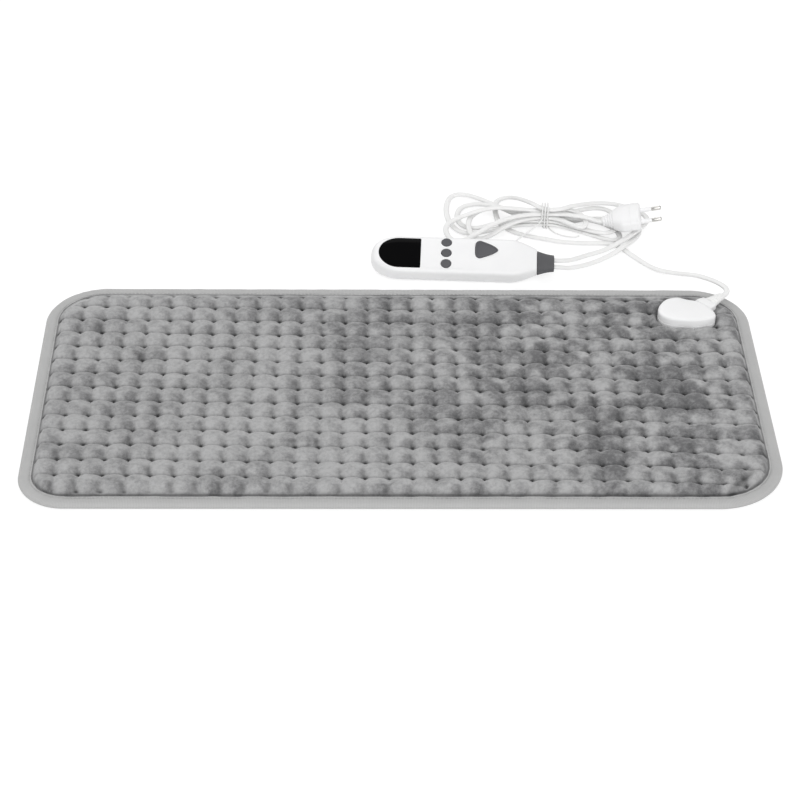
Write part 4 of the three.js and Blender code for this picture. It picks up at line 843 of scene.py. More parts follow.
def field_grid(pad, inset, spacing):
    """A grid over the rounded outline. Rows close up towards the corners' ends, as sines of even
    angles, and each row runs between the outline's two sides at its height."""
    half_x, half_y = pad.length / 2 - inset, pad.depth / 2 - inset
    near, far = max(pad.near_left, pad.near_right) - inset, max(pad.far_left, pad.far_right) - inset
    angle = np.linspace(0, QUARTER, int(near * QUARTER / spacing))
    low = -half_y + near * (1 - np.cos(angle))
    angle = np.linspace(0, QUARTER, int(far * QUARTER / spacing))
    high = (half_y - far * (1 - np.cos(angle)))[::-1]
    middle = np.linspace(low[-1], high[0], int((high[0] - low[-1]) / spacing))
    y = np.concatenate([low, middle[1:-1], high])

    def reach(near_radius, far_radius):
        radius = np.where(y < 0, near_radius, far_radius) - inset
        over = np.clip(np.abs(y) - (half_y - radius), 0, radius)
        return half_x - radius + np.sqrt(radius**2 - over**2)

    left, right = reach(pad.near_left, pad.far_left), reach(pad.near_right, pad.far_right)
    u = np.linspace(0, 1, int(2 * half_x / spacing))[None]
    x = -left[:, None] + (left + right)[:, None] * u
    return x, np.repeat(y[:, None], x.shape[1], 1)


def slab_piece(name, x, y, top, bottom, material, attributes=None, shifted=None):
    """A closed slab on a field grid, with its own heights and, if given, its own places above."""
    rows, columns = x.shape
    corners = grid_corners(rows, columns, False, False)
    quads = corners[..., 0] * columns + corners[..., 1]
    count = rows * columns
    upper = np.stack([*(shifted or (x, y)), top], -1).reshape(-1, 3)
    lower = np.stack([x, y, bottom], -1).reshape(-1, 3)
    index = np.arange(count).reshape(rows, columns)
    rim = np.concatenate([index[0, :-1], index[:-1, -1], index[-1, :0:-1], index[:0:-1, 0]])
    after = np.roll(rim, -1)
    wall = np.stack([rim, rim + count, after + count, after], 1)
    faces = np.vstack([quads, quads[:, ::-1] + count, wall])
    piece = make_mesh(name, np.vstack([upper, lower]), faces, [], material, sharp=SLAB_SHARP)
    for label, values in (attributes or {}).items():
        layer = piece.data.attributes.new(label, "FLOAT", "POINT")
        both = np.concatenate([values.ravel(), 0 * values.ravel()])
        layer.data.foreach_set("value", both.astype(np.float32))
    return piece


def lattice(pad, x, y):
    """Places counted in tufts: columns and rows that lean a little from the pad's axes, with the
    rows pulled forward by an eased amount at the near right corner."""
    u = (x - pad.column_skew * y - pad.column_shift) / pad.pitch_x
    pulled = pad.corner_pull * ease((x - 0.16) / 0.1) * ease((0.03 - y) / 0.12)
    v = (y + pad.row_skew * x + pad.row_shift + pulled) / pad.pitch_y
    return u, v


def from_tuft(pad, x, y):
    """Distances from the nearest tuft, along the pad and across it."""
    u, v = lattice(pad, x, y)
    return (u - np.round(u)) * pad.pitch_x, (v - np.round(v)) * pad.pitch_y


def pillow(d):
    """Height of a puff at a share of the way from its crease to its middle: steep, then flat."""
    return (1 - (1 - np.clip(2 * d, 0, 1)) ** 2.5) ** 0.6


def corner_fold(x, y):
    """A roll of plush pushed up across the near right corner, as two bells over the distance to a
    line, that run out at the line's ends: the roll, and the furrow behind it."""
    start, end = np.array(FOLD_LINE)
    along = end - start
    length = np.linalg.norm(along)
    along = along / length
    t = (x - start[0]) * along[0] + (y - start[1]) * along[1]
    aside = (y - start[1]) * along[0] - (x - start[0]) * along[1]
    run = ease((t + 0.006) / 0.01) * ease((length + 0.006 - t) / 0.01)
    return run * bell(aside, 0.0032), run * bell(aside + 0.0062, 0.0026)


def quilt_height(pad, x, y):
    """Sewn quilting: round-topped puffs between the tufts, a sharp crease along each row that
    rises between its tufts, a softer valley along each column, and small folds at the tufts."""
    u, v = lattice(pad, x, y)
    wander, fold_count, fullness = 0.045, 7, 0.13
    u = u + wander * smooth_noise(x, y, 0.017, 11)
    v = v + wander * smooth_noise(x, y, 0.015, 12)
    du, dv = u - np.round(u), v - np.round(v)
    row, bow = pillow(np.abs(dv)), np.sin(math.pi * np.abs(du)) ** 0.6
    saddle = 0.42 + 0.2 * smooth_noise(x, y, 0.019, 13)
    valley = 0.7 + 0.2 * smooth_noise(x, y, 0.018, 14)
    shape = row * (valley + (1 - valley) * bow) + (1 - row) * saddle * bow
    far = np.hypot(du * pad.pitch_x, dv * pad.pitch_y)
    folds = np.cos(fold_count * np.arctan2(dv, du) + 5 * smooth_noise(x, y, 0.02, 16))
    full = 1 + fullness * smooth_noise(x, y, 0.024, 15)
    height = pad.tuft_height + (pad.crown_height - pad.tuft_height) * shape * full
    crumple = 0.00022 * layered_noise(x, y, 0.0085, 17)
    crumple += 0.0001 * layered_noise(3 * x, y, 0.006, 18)
    roll, furrow = corner_fold(x, y)
    fold_height, fold_reach, roll_height, furrow_depth = 0.00022, 0.004, 0.0016, 0.0012
    height += fold_height * folds * (far / fold_reach) * np.exp(1 - far / fold_reach) + crumple
    return height + roll_height * roll - furrow_depth * furrow


def socket_outline(socket, inset, steps=12):
    """The socket's outline round its own middle, drawn in by an inset."""
    halves = np.array([socket.half_length - inset, socket.half_width - inset])
    return closed_curve(np.array(SOCKET_SHARES) * halves, steps)


def in_socket_frame(socket, x, y):
    """Places round the socket's middle, with the first axis along its plug."""
    c, s = math.cos(socket.heading), math.sin(socket.heading)
    dx, dy = x - socket.x, y - socket.y
    return dx * c + dy * s, dy * c - dx * s


def cover_height(pad, socket, x, y, lift=0.0):
    """The plush's top: quilting in the field, low at the binding, pressed flat by the socket and
    held down under the plug's lane."""
    puffs = quilt_height(pad, x, y) + lift
    depth = depth_inside(pad, x, y, pad.binding_width)
    hem, edge, plug_half_width, plug_reach, plug_underside = 0.0041, 0.0054, 0.0088, 0.058, 0.0086
    near_run, far_run, seam_run, seam_start = 0.0052, 0.017, 0.0014, 0.0016
    run = near_run + (far_run - near_run) * ease((y - 0.1) / 0.025)
    inner = edge + (puffs - edge) * ease((depth + seam_start / 2) / run)
    top = hem + (inner - hem) * ease((depth + seam_start) / seam_run)
    along, across = in_socket_frame(socket, x, y)
    ring = socket_outline(socket, 0)
    angle = np.arctan2(ring[:, 1], ring[:, 0])
    order = np.argsort(angle)
    reach = np.interp(np.arctan2(across, along), angle[order], np.hypot(*ring.T)[order], period=TAU)
    away = np.hypot(along, across) - reach
    pressed, rim, press_run = pad.pressed_height, 0.0004, 0.0034
    top = pressed + (top - pressed) * ease((away - rim) / press_run)
    beside = np.abs(across - socket.plug_offset) - plug_half_width
    lane, margin = np.maximum(beside, np.maximum(-along, along - plug_reach)), 0.004
    limit = plug_underside + margin * ease(lane / margin)
    return np.where(lane < margin, np.minimum(top, limit), top)


def cover_floor(pad, x, y):
    """The plush's underside: on the hem at the edge, and over the wadding further in."""
    hem_height, wadding_rise, wadding_edge, slope_run = 0.0023, 0.0042, 0.0195, 0.0018
    return hem_height + wadding_rise * ease(depth_inside(pad, x, y, wadding_edge) / slope_run)


def nap_and_side_shade(pad, x, y):
    """How dark the brushed nap lies, from 0 to 1: clouds and smears, stronger on the right."""
    right = ease((x + 0.16) / 0.36)
    clouds = layered_noise(x, y, 0.034, 21)
    smears = layered_noise(x + 0.4 * y, y - 0.25 * x, 0.0095, 31)
    lean = 0.02 + 0.36 * right + 0.16 * ease((y - 0.02) / 0.1) * ease((x + 0.2) / 0.1)
    du, dv = from_tuft(pad, x, y)
    # Painted shade left of each tuft and painted light right of it
    puff_side_shade = 0.3 * np.sin(TAU * du / pad.pitch_x) * bell(dv - 0.003, 0.0075)
    lie = lean + (0.32 + 0.38 * right) * clouds + (0.3 + 0.35 * right) * smears - puff_side_shade
    contrast, middle = 1.5, 0.35
    return 0.5 + 0.5 * np.tanh(contrast * (lie - middle))


def painted_shade_mask(pad, x, y):
    """How deep a place lies in a tuft, a row's crease or the seam at the binding, from 0 to 1."""
    du, dv = from_tuft(pad, x, y)
    depth = depth_inside(pad, x, y, pad.binding_width)
    # Painted shade: a dark dot in each tuft and a dark line along each row's crease
    tuft = bell(du, 0.0019) * bell(dv - 0.0006, 0.0016)
    crease = 0.25 * bell(dv, 0.0009)
    # A smear of painted shade behind and left of each tuft, of uneven strength
    streak = np.clip(0.34 + 0.26 * smooth_noise(x, y, 0.016, 23), 0, 1)
    shade = streak * bell(du + 0.0021, 0.0027) * bell(dv - 0.0052, 0.005)
    # Painted shade along the seam at the binding and in the furrow behind the corner's roll
    seam = 0.8 * bell(depth, 0.0011)
    sewn = (tuft + crease + shade) * (depth > 0.0015)
    return np.clip(sewn + seam + 0.5 * corner_fold(x, y)[1], 0, 1)


def cloth_folds(pad, cells=8, scale=100.0, frames=20, cap=0.0024):
    """Moves of the sewn sheet when the filling pushes it up between its pinned tufts and rows. The
    sheet is a grid on the lattice, simulated a hundred times as large and six parts in a hundred
    longer than its place, so that it swells and wrinkles. Gives the grid's size and its moves."""
    columns, rows = int(pad.length / 2 / pad.pitch_x) + 2, int(pad.depth / 2 / pad.pitch_y) + 2
    u, v = np.meshgrid(*(np.arange(-k * cells, k * cells + 1) / cells for k in (columns, rows)))
    a, b = u * pad.pitch_x + pad.column_shift, v * pad.pitch_y - pad.row_shift
    x = (a + pad.column_skew * b) / (1 + pad.column_skew * pad.row_skew)
    y = b - pad.row_skew * x
    start = np.stack([x, y, quilt_height(pad, x, y)], -1)
    corners = grid_corners(*u.shape, False, False)
    quads = corners[..., 0] * u.shape[1] + corners[..., 1]
    mesh = bpy.data.meshes.new("sewn_sheet")
    mesh.from_pydata((start.reshape(-1, 3) * scale).tolist(), [], quads.tolist())
    sheet = bpy.data.objects.new("sewn_sheet", mesh)
    bpy.context.scene.collection.objects.link(sheet)
    du, dv = np.abs(u - np.round(u)), np.abs(v - np.round(v))
    rim = (np.abs(u) == columns) | (np.abs(v) == rows)
    held, on_column, on_row = sheet.vertex_groups.new(name="held"), du < 0.07, dv < 0.07
    for which, weight in ((rim | (on_column & on_row), 1.0), (~rim & ~on_column & on_row, 0.55)):
        held.add(np.flatnonzero(which.ravel()).tolist(), weight, "REPLACE")
    cloth = sheet.modifiers.new("cloth", "CLOTH")
    cloth.settings.quality = 7
    cloth.settings.mass = 0.25
    cloth.settings.tension_stiffness = cloth.settings.compression_stiffness = 12
    cloth.settings.shear_stiffness = 5
    cloth.settings.bending_stiffness = 0.12
    cloth.settings.vertex_group_mass = "held"
    cloth.settings.use_pressure = True
    cloth.settings.uniform_pressure_force = 1.6
    cloth.settings.shrink_min = cloth.settings.shrink_max = -0.06
    cloth.settings.effector_weights.gravity = 0
    cloth.collision_settings.use_collision = False
    scene = bpy.context.scene
    for moment in range(1, frames + 1):
        scene.frame_set(moment)
    graph = bpy.context.evaluated_depsgraph_get()
    end = np.empty(start.size)
    sheet.evaluated_get(graph).data.vertices.foreach_get("co", end)
    scene.frame_set(1)
    bpy.data.objects.remove(sheet)
    moves = end.reshape(start.shape) / scale - start
    moves /= np.maximum(np.linalg.norm(moves, axis=-1, keepdims=True) / cap, 1)
    return (columns, rows, cells), moves


def sampled_moves(pad, folds, x, y):
    """The sheet's moves at other places, each mixed from the four corners of its cell."""
    (columns, rows, cells), moves = folds
    u, v = lattice(pad, x, y)
    i, j = (v + rows) * cells, (u + columns) * cells
    i0 = np.clip(np.floor(i).astype(int), 0, moves.shape[0] - 2)
    j0 = np.clip(np.floor(j).astype(int), 0, moves.shape[1] - 2)
    s, t = (i - i0)[..., None], (j - j0)[..., None]
    near = moves[i0, j0] * (1 - t) + moves[i0, j0 + 1] * t
    far = moves[i0 + 1, j0] * (1 - t) + moves[i0 + 1, j0 + 1] * t
    return near * (1 - s) + far * s


def make_cover(settings):
    pad, socket = settings.pad, settings.socket
    inset, spacing, least_cloth = 0.0022, 0.0013, 0.00035
    x, y = field_grid(pad, inset, spacing)
    bottom = cover_floor(pad, x, y)
    # Colour masks: pile patches with painted shade and light on the puffs' sides, and painted shade
    # in the tufts, creases and seam
    masks = {"nap": nap_and_side_shade(pad, x, y), "hollow": painted_shade_mask(pad, x, y)}
    shifted_x, shifted_y, lift = x, y, 0.0
    inner = ease((depth_inside(pad, x, y, pad.binding_width) - 0.0008) / 0.005)
    uneven = 0.3 * smooth_noise(x, y, 0.021, 19) + 0.16 * smooth_noise(x, y, 0.07, 20)
    inner = inner * (0.78 + uneven)
    moves = sampled_moves(pad, cloth_folds(pad), x, y) * inner[..., None]
    along, across = in_socket_frame(socket, x, y)
    clear_from, clear_over = 0.025, 0.006
    clear = ease((np.hypot(along, across) - clear_from) / clear_over)
    moves[..., :2] *= clear[..., None]
    shifted_x, shifted_y, lift = x + moves[..., 0], y + moves[..., 1], moves[..., 2]
    top = np.maximum(cover_height(pad, socket, x, y, lift), bottom + least_cloth)
    shifted = (shifted_x, shifted_y)
    cover = slab_piece("plush_cover", x, y, top, bottom, finish_of("plush_grey"), masks, shifted)
    settle(cover, "base", "plush_grey", "pad_cover_top")


def make_back_cover(settings):
    pad = settings.pad
    inset, spacing, top_height = 0.002, 0.0024, 0.002
    x, y = field_grid(pad, inset, spacing)
    u, v = lattice(pad, x, y)
    row, column = pillow(np.abs(v - np.round(v))), pillow(np.abs(u - np.round(u)))
    puff = row * (0.8 + 0.2 * column) + (1 - row) * 0.5 * column
    under = ease((depth_inside(pad, x, y, pad.binding_width) + 0.001) / 0.002)
    rim_height, fall, quilting = 0.00125, 0.00115, 0.0007
    bottom = rim_height - (fall - quilting * (1 - puff)) * under
    # Mirrored pile patches with painted shade and light on the puffs' sides, and no painted shade
    # in hollows
    masks = {"nap": nap_and_side_shade(pad, -x, y), "hollow": 0 * x}
    top = np.full(x.shape, top_height)
    back = slab_piece("back_cover", x, y, top, bottom, finish_of("plush_grey"), masks)
    settle(back, "base", "plush_grey", "pad_cover_bottom")


def make_filling(settings):
    """The wadding, with the socket's plate let into it, and the felt that carries the wire."""
    pad, socket = settings.pad, settings.socket
    inset, spacing, gap = 0.0216, 0.004, 0.0008
    x, y = field_grid(pad, inset, spacing)
    waves = 0.00012 * layered_noise(x, y, 0.012, 51)
    top, bottom = 0.0061 + waves, 0.0053 + waves
    wadding = slab_piece("wadding", x, y, top, bottom, finish_of("felt_cream"))
    hole = prism("wadding_hole", socket_outline(socket, -gap), 0.004, 0.008)
    hole.data.transform(socket_frame(socket))
    cut(wadding, [hole])
    settle(wadding, "base", "felt_cream", "wadding_sheet")
    waves = 0.00005 * layered_noise(x, y, 0.01, 61)
    top, bottom = 0.00275 + waves, 0.00235 + waves
    carrier = slab_piece("wire_carrier", x, y, top, bottom, finish_of("felt_cream"))
    settle(carrier, "base", "felt_cream", "heating_carrier")


def binding_profile(pad):
    """The folded strip's section, as (distance in from the edge, height)."""
    width, height, cloth = pad.binding_width, pad.binding_height, pad.binding_cloth
    outer = [
        (width, height - 0.00025), (width - 0.0009, height - 0.00005),
        (width - 0.0021, height - 0.0004), (width - 0.0034, height - 0.00005),
        (width * 0.45, height), (0.0026, height - 0.0001),
        (0.0011, height - 0.0007), (0.0002, height - 0.0019), (0, height / 2), (0.0003, 0.0013),
        (0.0012, 0.0003), (0.0028, 0), (width * 0.5, 0), (width - 0.0006, 0), (width, 0.0003),
    ]
    inner = [
        (width, cloth), (width * 0.5, cloth), (0.0028, cloth + 0.0001), (0.0014, height * 0.36),
        (0.0011, height / 2), (0.0016, height * 0.7), (0.003, height - cloth - 0.0001),
        (width * 0.5, height - cloth), (width - 0.0021, height - cloth - 0.0003),
        (width, height - cloth),
    ]
    return resampled(closed_curve(outer + inner, 6), 0.00055, closed=True)


def make_binding_strip(settings):
    """The section of the strip, carried round the pad's outline with a little waviness."""
    pad = settings.pad
    line, away, along = edge_line(pad, 0.0022)
    profile = binding_profile(pad)
    wave = 0.00022 * smooth_noise(line[:, 0] + 3 * line[:, 1], line[:, 1], 0.009, 41)
    lip = 0.00035 * smooth_noise(line[:, 0], 2 * line[:, 1], 0.016, 42)
    inward, height = profile[:, 0][None], profile[:, 1][None]
    upper = ease((height - 0.0026) / 0.002)
    reach = inward + lip[:, None] * ease((inward - 0.004) / 0.006) + 0 * height
    z = height + upper * (wave[:, None] - 0.00012)
    grid = np.stack([
        line[:, None, 0] - away[:, None, 0] * reach,
        line[:, None, 1] - away[:, None, 1] * reach,
        z,
    ], -1)
    section = distances(profile)
    round_it = np.append(section, section[-1] + np.linalg.norm(profile[0] - profile[-1]))
    strip = skin("edge_binding_strip", grid, finish_of("binding_grey"), True, (along, round_it))
    settle(strip, "base", "binding_grey", "edge_binding")


def make_binding_stitches(settings):
    """Short spindles of yarn in a line along the strip, all in one mesh."""
    pad = settings.pad
    stations, directions, _ = edge_line(pad, pad.stitch_pitch)
    side = np.column_stack([-directions[:, 1], directions[:, 0]])
    start = stations - directions * (pad.binding_width - 0.0021)
    half_length, radius, blunt = 0.00125, 0.00028, 0.93
    step = np.linspace(-1, 1, 7)
    angle = round_angles(6)
    thick = radius * np.sqrt(np.clip(1 - (blunt * step) ** 2, 0, 1))
    shift = step * half_length
    rise = pad.binding_height - 0.0005 + 0.00022 * (1 - step**2)
    middle = np.concatenate([
        start[:, None] + side[:, None] * shift[None, :, None],
        np.repeat(rise[None, :, None], len(start), 0),
    ], -1)
    outward = np.column_stack([directions, np.zeros(len(start))])
    rings = (
        middle[:, :, None]
        + outward[:, None, None] * (thick[:, None] * np.cos(angle))[None, :, :, None]
        + np.array([0, 0, 1.0]) * (thick[:, None] * np.sin(angle))[None, :, :, None]
    )
    count, steps, sides = rings.shape[:3]
    corners = grid_corners(steps, sides, False, True)
    quads = corners[..., 0] * sides + corners[..., 1] % sides
    ring = np.arange(sides)
    ends = np.vstack([
        np.stack([np.full(4, 0), ring[2:], ring[1:-1]], 1),
        np.stack([np.full(4, 0), ring[1:-1], ring[2:]], 1) + (steps - 1) * sides,
    ])
    offset = (np.arange(count) * steps * sides)[:, None, None]
    stitches = make_mesh(
        "binding_stitches", rings.reshape(-1, 3), (quads + offset).reshape(-1, 4),
        (ends + offset).reshape(-1, 3), finish_of("binding_grey"),
    )
    layer = stitches.data.uv_layers.new(name="UVMap")
    layer.data.foreach_set("uv", np.zeros(len(stitches.data.loops) * 2))
    settle(stitches, "base", "binding_grey")


# The socket and its plug

def socket_frame(socket):
    return placing(socket.x, socket.y, 0, socket.heading)


def make_socket(settings):
    """The socket's shell: rings of its outline, with a low seam, a soft edge and a slight dome."""
    socket = settings.socket
    low, top = socket.bottom, socket.top
    levels = [
        (0.0003, low), (0, low + 0.0003), (0, low + 0.0034), (0.00032, low + 0.0036),
        (0.00032, low + 0.0040), (0, low + 0.0042), (0, top - 0.0021), (0.00016, top - 0.0013),
        (0.0006, top - 0.0006), (0.0012, top - 0.0002), (0.0021, top),
    ]
    dome, shares = 0.0004, (0.9, 0.75, 0.55, 0.35, 0.15)
    levels += [(0.0021, top + dome * (1 - share**2), share) for share in shares]
    rings = raised(lambda i: socket_outline(socket, i), levels)
    shell = skin("socket_cap", rings, finish_of("shell_white"))
    wall = socket.wall
    hollow = [
        (wall, low - 0.001), (wall, top - 0.0032), (wall + 0.0004, top - 0.0022),
        (wall + 0.0015, top - wall), (wall + 0.0015, top - wall, 0.4),
    ]
    inside = skin("socket_hollow", raised(lambda i: socket_outline(socket, i, 4), hollow), None)
    mouth = np.stack([
        oblong(x, 0.0083, 0.0034, socket.plug_offset, socket.plug_height, 6) for x in (0.006, 0.024)
    ])
    cut(shell, [inside, skin("socket_mouth", mouth, None)])
    settle(shell, "base", "shell_white", "socket_shell", place=socket_frame(socket))


def make_connector(settings):
    """The plug of the pad's cord: an oblong prong and housing, and a ribbed tapering relief."""
    socket = settings.socket
    y, z = socket.plug_offset, socket.plug_height
    place = socket_frame(socket)
    stations = [
        (0.0019, 0.0076, 0.0027), (0.0021, 0.0079, 0.003), (0.0026, 0.008, 0.0031),
        (0.0201, 0.008, 0.0031), (0.0203, 0.0083, 0.0034), (0.0206, 0.0086, 0.0037),
        (0.024, 0.0086, 0.0037), (0.0288, 0.0079, 0.0033), (0.0294, 0.0077, 0.0031),
        (0.0298, 0.0073, 0.0027),
    ]
    rings = np.stack([oblong(x, w, h, y, z, 5) for x, w, h in stations])
    body = skin("connector_housing", rings, finish_of("shell_white"))
    bores = []
    pin_pitch, bore_radius, bore_depth = 0.0046, 0.0015, 0.0135
    for side in (y - pin_pitch, y, y + pin_pitch):
        ends = (0.0, bore_depth)
        bore = np.stack([oblong(x, bore_radius, bore_radius, side, z, 2, 20) for x in ends])
        bores.append(skin("connector_bore", bore, None))
    cut(body, bores)
    share = np.linspace(0, 1, 81)
    start, length = 0.0301, 0.016
    x = start + length * share
    half_width = 0.0066 - 0.0032 * share**0.8
    half_height = 0.0033 - 0.0008 * share
    groove = sum(bell(share - at, 0.035, 4) for at in (0.24, 0.46, 0.68)) * 0.00075
    lip = 0.0004 * (np.exp(-share / 0.02) + np.exp(-(1 - share) / 0.02))
    rings = np.stack([
        oblong(a, w, h, y, z, 2.6)
        for a, w, h in zip(x, half_width - groove - lip, half_height - 0.7 * groove - lip)
    ])
    relief = skin("connector_neck", rings, finish_of("cord_white"))
    settle(body, "connector", "shell_white", "connector_body", place=place)
    settle(relief, "connector", "cord_white", "connector_relief", place=place)


# The mains plug

def make_plug(settings):
    """A flat two-pin plug: super-ellipse rings that widen smoothly, ribbed at the cord."""
    plug = settings.plug
    place = placing(plug.x, plug.y, plug.z, plug.yaw, plug.pitch, "Y")
    shoulder, cord_half_width, cord_half_height, squareness = 0.0194, 0.005, 0.004, 3.4
    face = np.linspace(shoulder + 0.0004, plug.length - 0.0006, 36)
    x = np.concatenate([np.linspace(0, shoulder, 98), face])
    share = ease(x / shoulder)
    half_width = cord_half_width + (plug.half_width - cord_half_width) * share
    half_height = cord_half_height + (plug.half_height - cord_half_height) * share
    rib = sum(bell(x - at, 0.0005, 4) for at in (0.0022, 0.0044, 0.0066, 0.0088)) * 0.0007
    step = 0.0003 * bell(x - 0.0252, 0.0003, 4)
    lip = 0.0005 * np.exp(-x / 0.0003) + 0.0006 * ease((x - 0.0331) / 0.0008) ** 2
    drawn_in = rib + step + lip
    rings = [
        oblong(a, w, h, 0, 0, squareness, 72)
        for a, w, h in zip(x, half_width - drawn_in, half_height - drawn_in)
    ]
    rings.append(oblong(plug.length, 0.0164, 0.0056, 0, 0, squareness, 72))
    body = skin("mains_plug", np.stack(rings), finish_of("shell_white"))
    settle(body, "base", "shell_white", "plug_body", place=place)
    lying = [2, 0, 1]
    pin = turned([
        (0.0013, 0.0284), (0.0013, 0.0446), (0.0019, 0.0447), (0.002, 0.0449), (0.002, 0.0521),
        (0.00188, 0.0527), (0.0015, 0.0531), (0.0008, 0.0534),
    ], 28)[..., lying]
    sleeve = turned([
        (0.0016, 0.0314), (0.0016, 0.0444), (0.00188, 0.0444), (0.002, 0.0442), (0.002, 0.0314),
    ], 28)[..., lying]
    for number, side in enumerate((-0.0095, 0.0095), 1):
        beside = np.array([0, side, 0])
        blade = skin(f"mains_pin_{number}", pin + beside, finish_of("metal"))
        settle(blade, "base", "metal", f"plug_pin_{number}", place=place)
        cover = skin(f"mains_pin_sleeve_{number}", sleeve + beside, finish_of("shell_white"), True)
        settle(cover, "base", "shell_white", f"pin_sleeve_{number}", place=place)


# The cords

def evened(path, spacing, passes=3):
    """A path with even steps and its joins eased by a short moving mean."""
    line = resampled(path, spacing)
    for _ in range(passes):
        line[1:-1] = (line[:-2] + 2 * line[1:-1] + line[2:]) / 4
    return line


def cord_tube(name, path, cord):
    """A flat twin cord along a path."""
    grid = swept(path, twin_section(cord.width, cord.thickness))
    return skin(name, grid, finish_of("cord_white"))


def make_mains_cord(settings):
    cord = settings.cord
    hank = hank_path(cord.hank_reach)
    path = np.vstack([open_curve(MAINS_LEAD), hank[1:-1], open_curve(MAINS_TAIL)])
    path = evened(lengthened(path, 0.003, 0.003), CORD_STEP)
    tube = cord_tube("mains_cord", path, cord)
    settle(tube, "base", "cord_white", "mains_lead", "mains_hank", "mains_tail")


def make_pad_cord(settings):
    cord = settings.cord
    path = evened(lengthened(open_curve(PAD_CORD + PAD_CORD_END), 0.003, 0.002), CORD_STEP)
    tube = cord_tube("pad_supply_cord", path, cord)
    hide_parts("pad_cord", "pad_cord_end")
    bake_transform(tube)


def make_tie(settings):
    cord = settings.cord
    path = tie_path()
    grid = swept(path, round_section(cord.tie_radius), level=False)
    ends = path[[0, -1], None] + (grid[[0, -1]] - path[[0, -1], None]) * 0.4
    tie = skin("twist_tie", np.vstack([ends[:1], grid, ends[1:]]), finish_of("cord_white"))
    settle(tie, "base", "cord_white", "cord_tie")


# The hand controller

def hull_ring(body, x, inset, angle):
    """The body's section at x, drawn in by an inset: a super-ellipse, squarer above than below,
    that closes at the nose and narrows with a squared share at the cord's end."""
    blunt, above, below = 0.015, 5.0, 2.4
    width, height = body.half_width - inset, body.thickness / 2 - inset
    if x < body.nose:
        width *= math.sqrt(max(1 - ((body.nose - x) / (body.nose - inset)) ** 2, 0))
    if x < blunt:
        height *= max(1 - ((blunt - x) / (blunt - inset)) ** 5, 0) ** (1 / below)
    share = max((x - (body.length - body.taper)) / body.taper, 0)
    narrow = share**2 * (1.6 - 0.6 * share)
    width -= (body.half_width - body.neck_half_width) * narrow
    height -= (body.thickness / 2 - body.neck_half_height) * narrow
    sine, cosine = np.sin(angle), np.cos(angle)
    squareness = np.where(sine > 0, above, below)
    y = width * power(cosine, 2 / squareness)
    z = body.thickness / 2 + height * power(sine, 2 / squareness)
    return np.column_stack([np.full(len(angle), x), y, z])


def hull(body, name, inset, material, end=None, sides=88):
    """The body's rings from the nose, where they crowd, to its end, which is slightly rounded."""
    angle = round_angles(sides) + TAU / sides / 2
    turn_in = np.linspace(0.09, QUARTER, 26)
    nose = inset + (body.nose - inset) * (1 - np.cos(turn_in))
    back = (body.length if end is None else end) - (0.0006 if inset <= 0 else 0)
    x = np.concatenate([nose, np.linspace(body.nose, body.length - body.taper, 30)[1:]])
    x = np.concatenate([x, np.linspace(body.length - body.taper, back, 18)[1:]])
    rings = [hull_ring(body, float(a), inset, angle) for a in x]
    if inset <= 0:
        for step, draw in ((0.00035, 0.00022), (0.0006, 0.0007)):
            ring = hull_ring(body, back, inset + draw, angle)
            ring[:, 0] = back + step
            rings.append(ring)
    return skin(name, np.stack(rings), material)


def disc(x, y, radius, sides=64):
    angle = round_angles(sides)
    return np.array([x, y]) + radius * np.column_stack([np.cos(angle), np.sin(angle)])


def window_outline(inset):
    """A half ellipse at the nose, and a straight far side with small round corners."""
    middle, end, half, corner = 0.025, 0.0438 - inset, 0.0162 - inset, 0.0012
    angle = np.linspace(QUARTER, 3 * QUARTER, 48)
    bow = np.column_stack([middle + (0.018 - inset) * np.cos(angle), half * np.sin(angle)])
    turn_at = np.linspace(-QUARTER, 0, 7)
    arc = corner * np.column_stack([np.cos(turn_at), np.sin(turn_at)])
    near = arc + [end - corner, corner - half]
    far = near[::-1] * [1, -1]
    return np.vstack([bow, near, far])


def panel_outline(inset):
    """A rectangle with quarter-circle corners."""
    low, high, half, corner = 0.046 + inset, 0.0825 - inset, 0.016 - inset, 0.003
    angle = np.linspace(0, QUARTER, 9)
    arc = np.column_stack([np.cos(angle), np.sin(angle)]) * corner
    parts = []
    for k, (x, y) in enumerate(((high, half), (low, half), (low, -half), (high, -half))):
        c, s = round(math.cos(k * QUARTER)), round(math.sin(k * QUARTER))
        turned_arc = arc @ np.array([[c, s], [-s, c]])
        inwards = np.array([math.copysign(corner, x - 0.064), math.copysign(corner, y)])
        parts.append(turned_arc + [x, y] - inwards)
    return np.vstack(parts)


def pick_outline(inset, steps=10):
    """A rounded triangle with a point towards the cord."""
    halves = np.array([0.00995 - inset, 0.0096 - inset])
    return np.array([0.1016, 0.0054]) + closed_curve(np.array(PICK_SHARES) * halves, steps)


# The middle key's place, the distance between the keys, their holes' radius, and half of the gap
# between the two shells
KEY_X, KEY_Y, KEY_PITCH, KEY_HOLE = 0.0663, 0.0005, 0.0117, 0.0048
SEAM = 0.00012

# The key panel's underside, and a height above all of the controller
PANEL_LOW, ABOVE = 0.0155, 0.03

# Squareness of the boot's section
OVAL = 2.4


def controller_frame(body):
    return placing(body.x, body.y, body.z, body.yaw, body.roll)


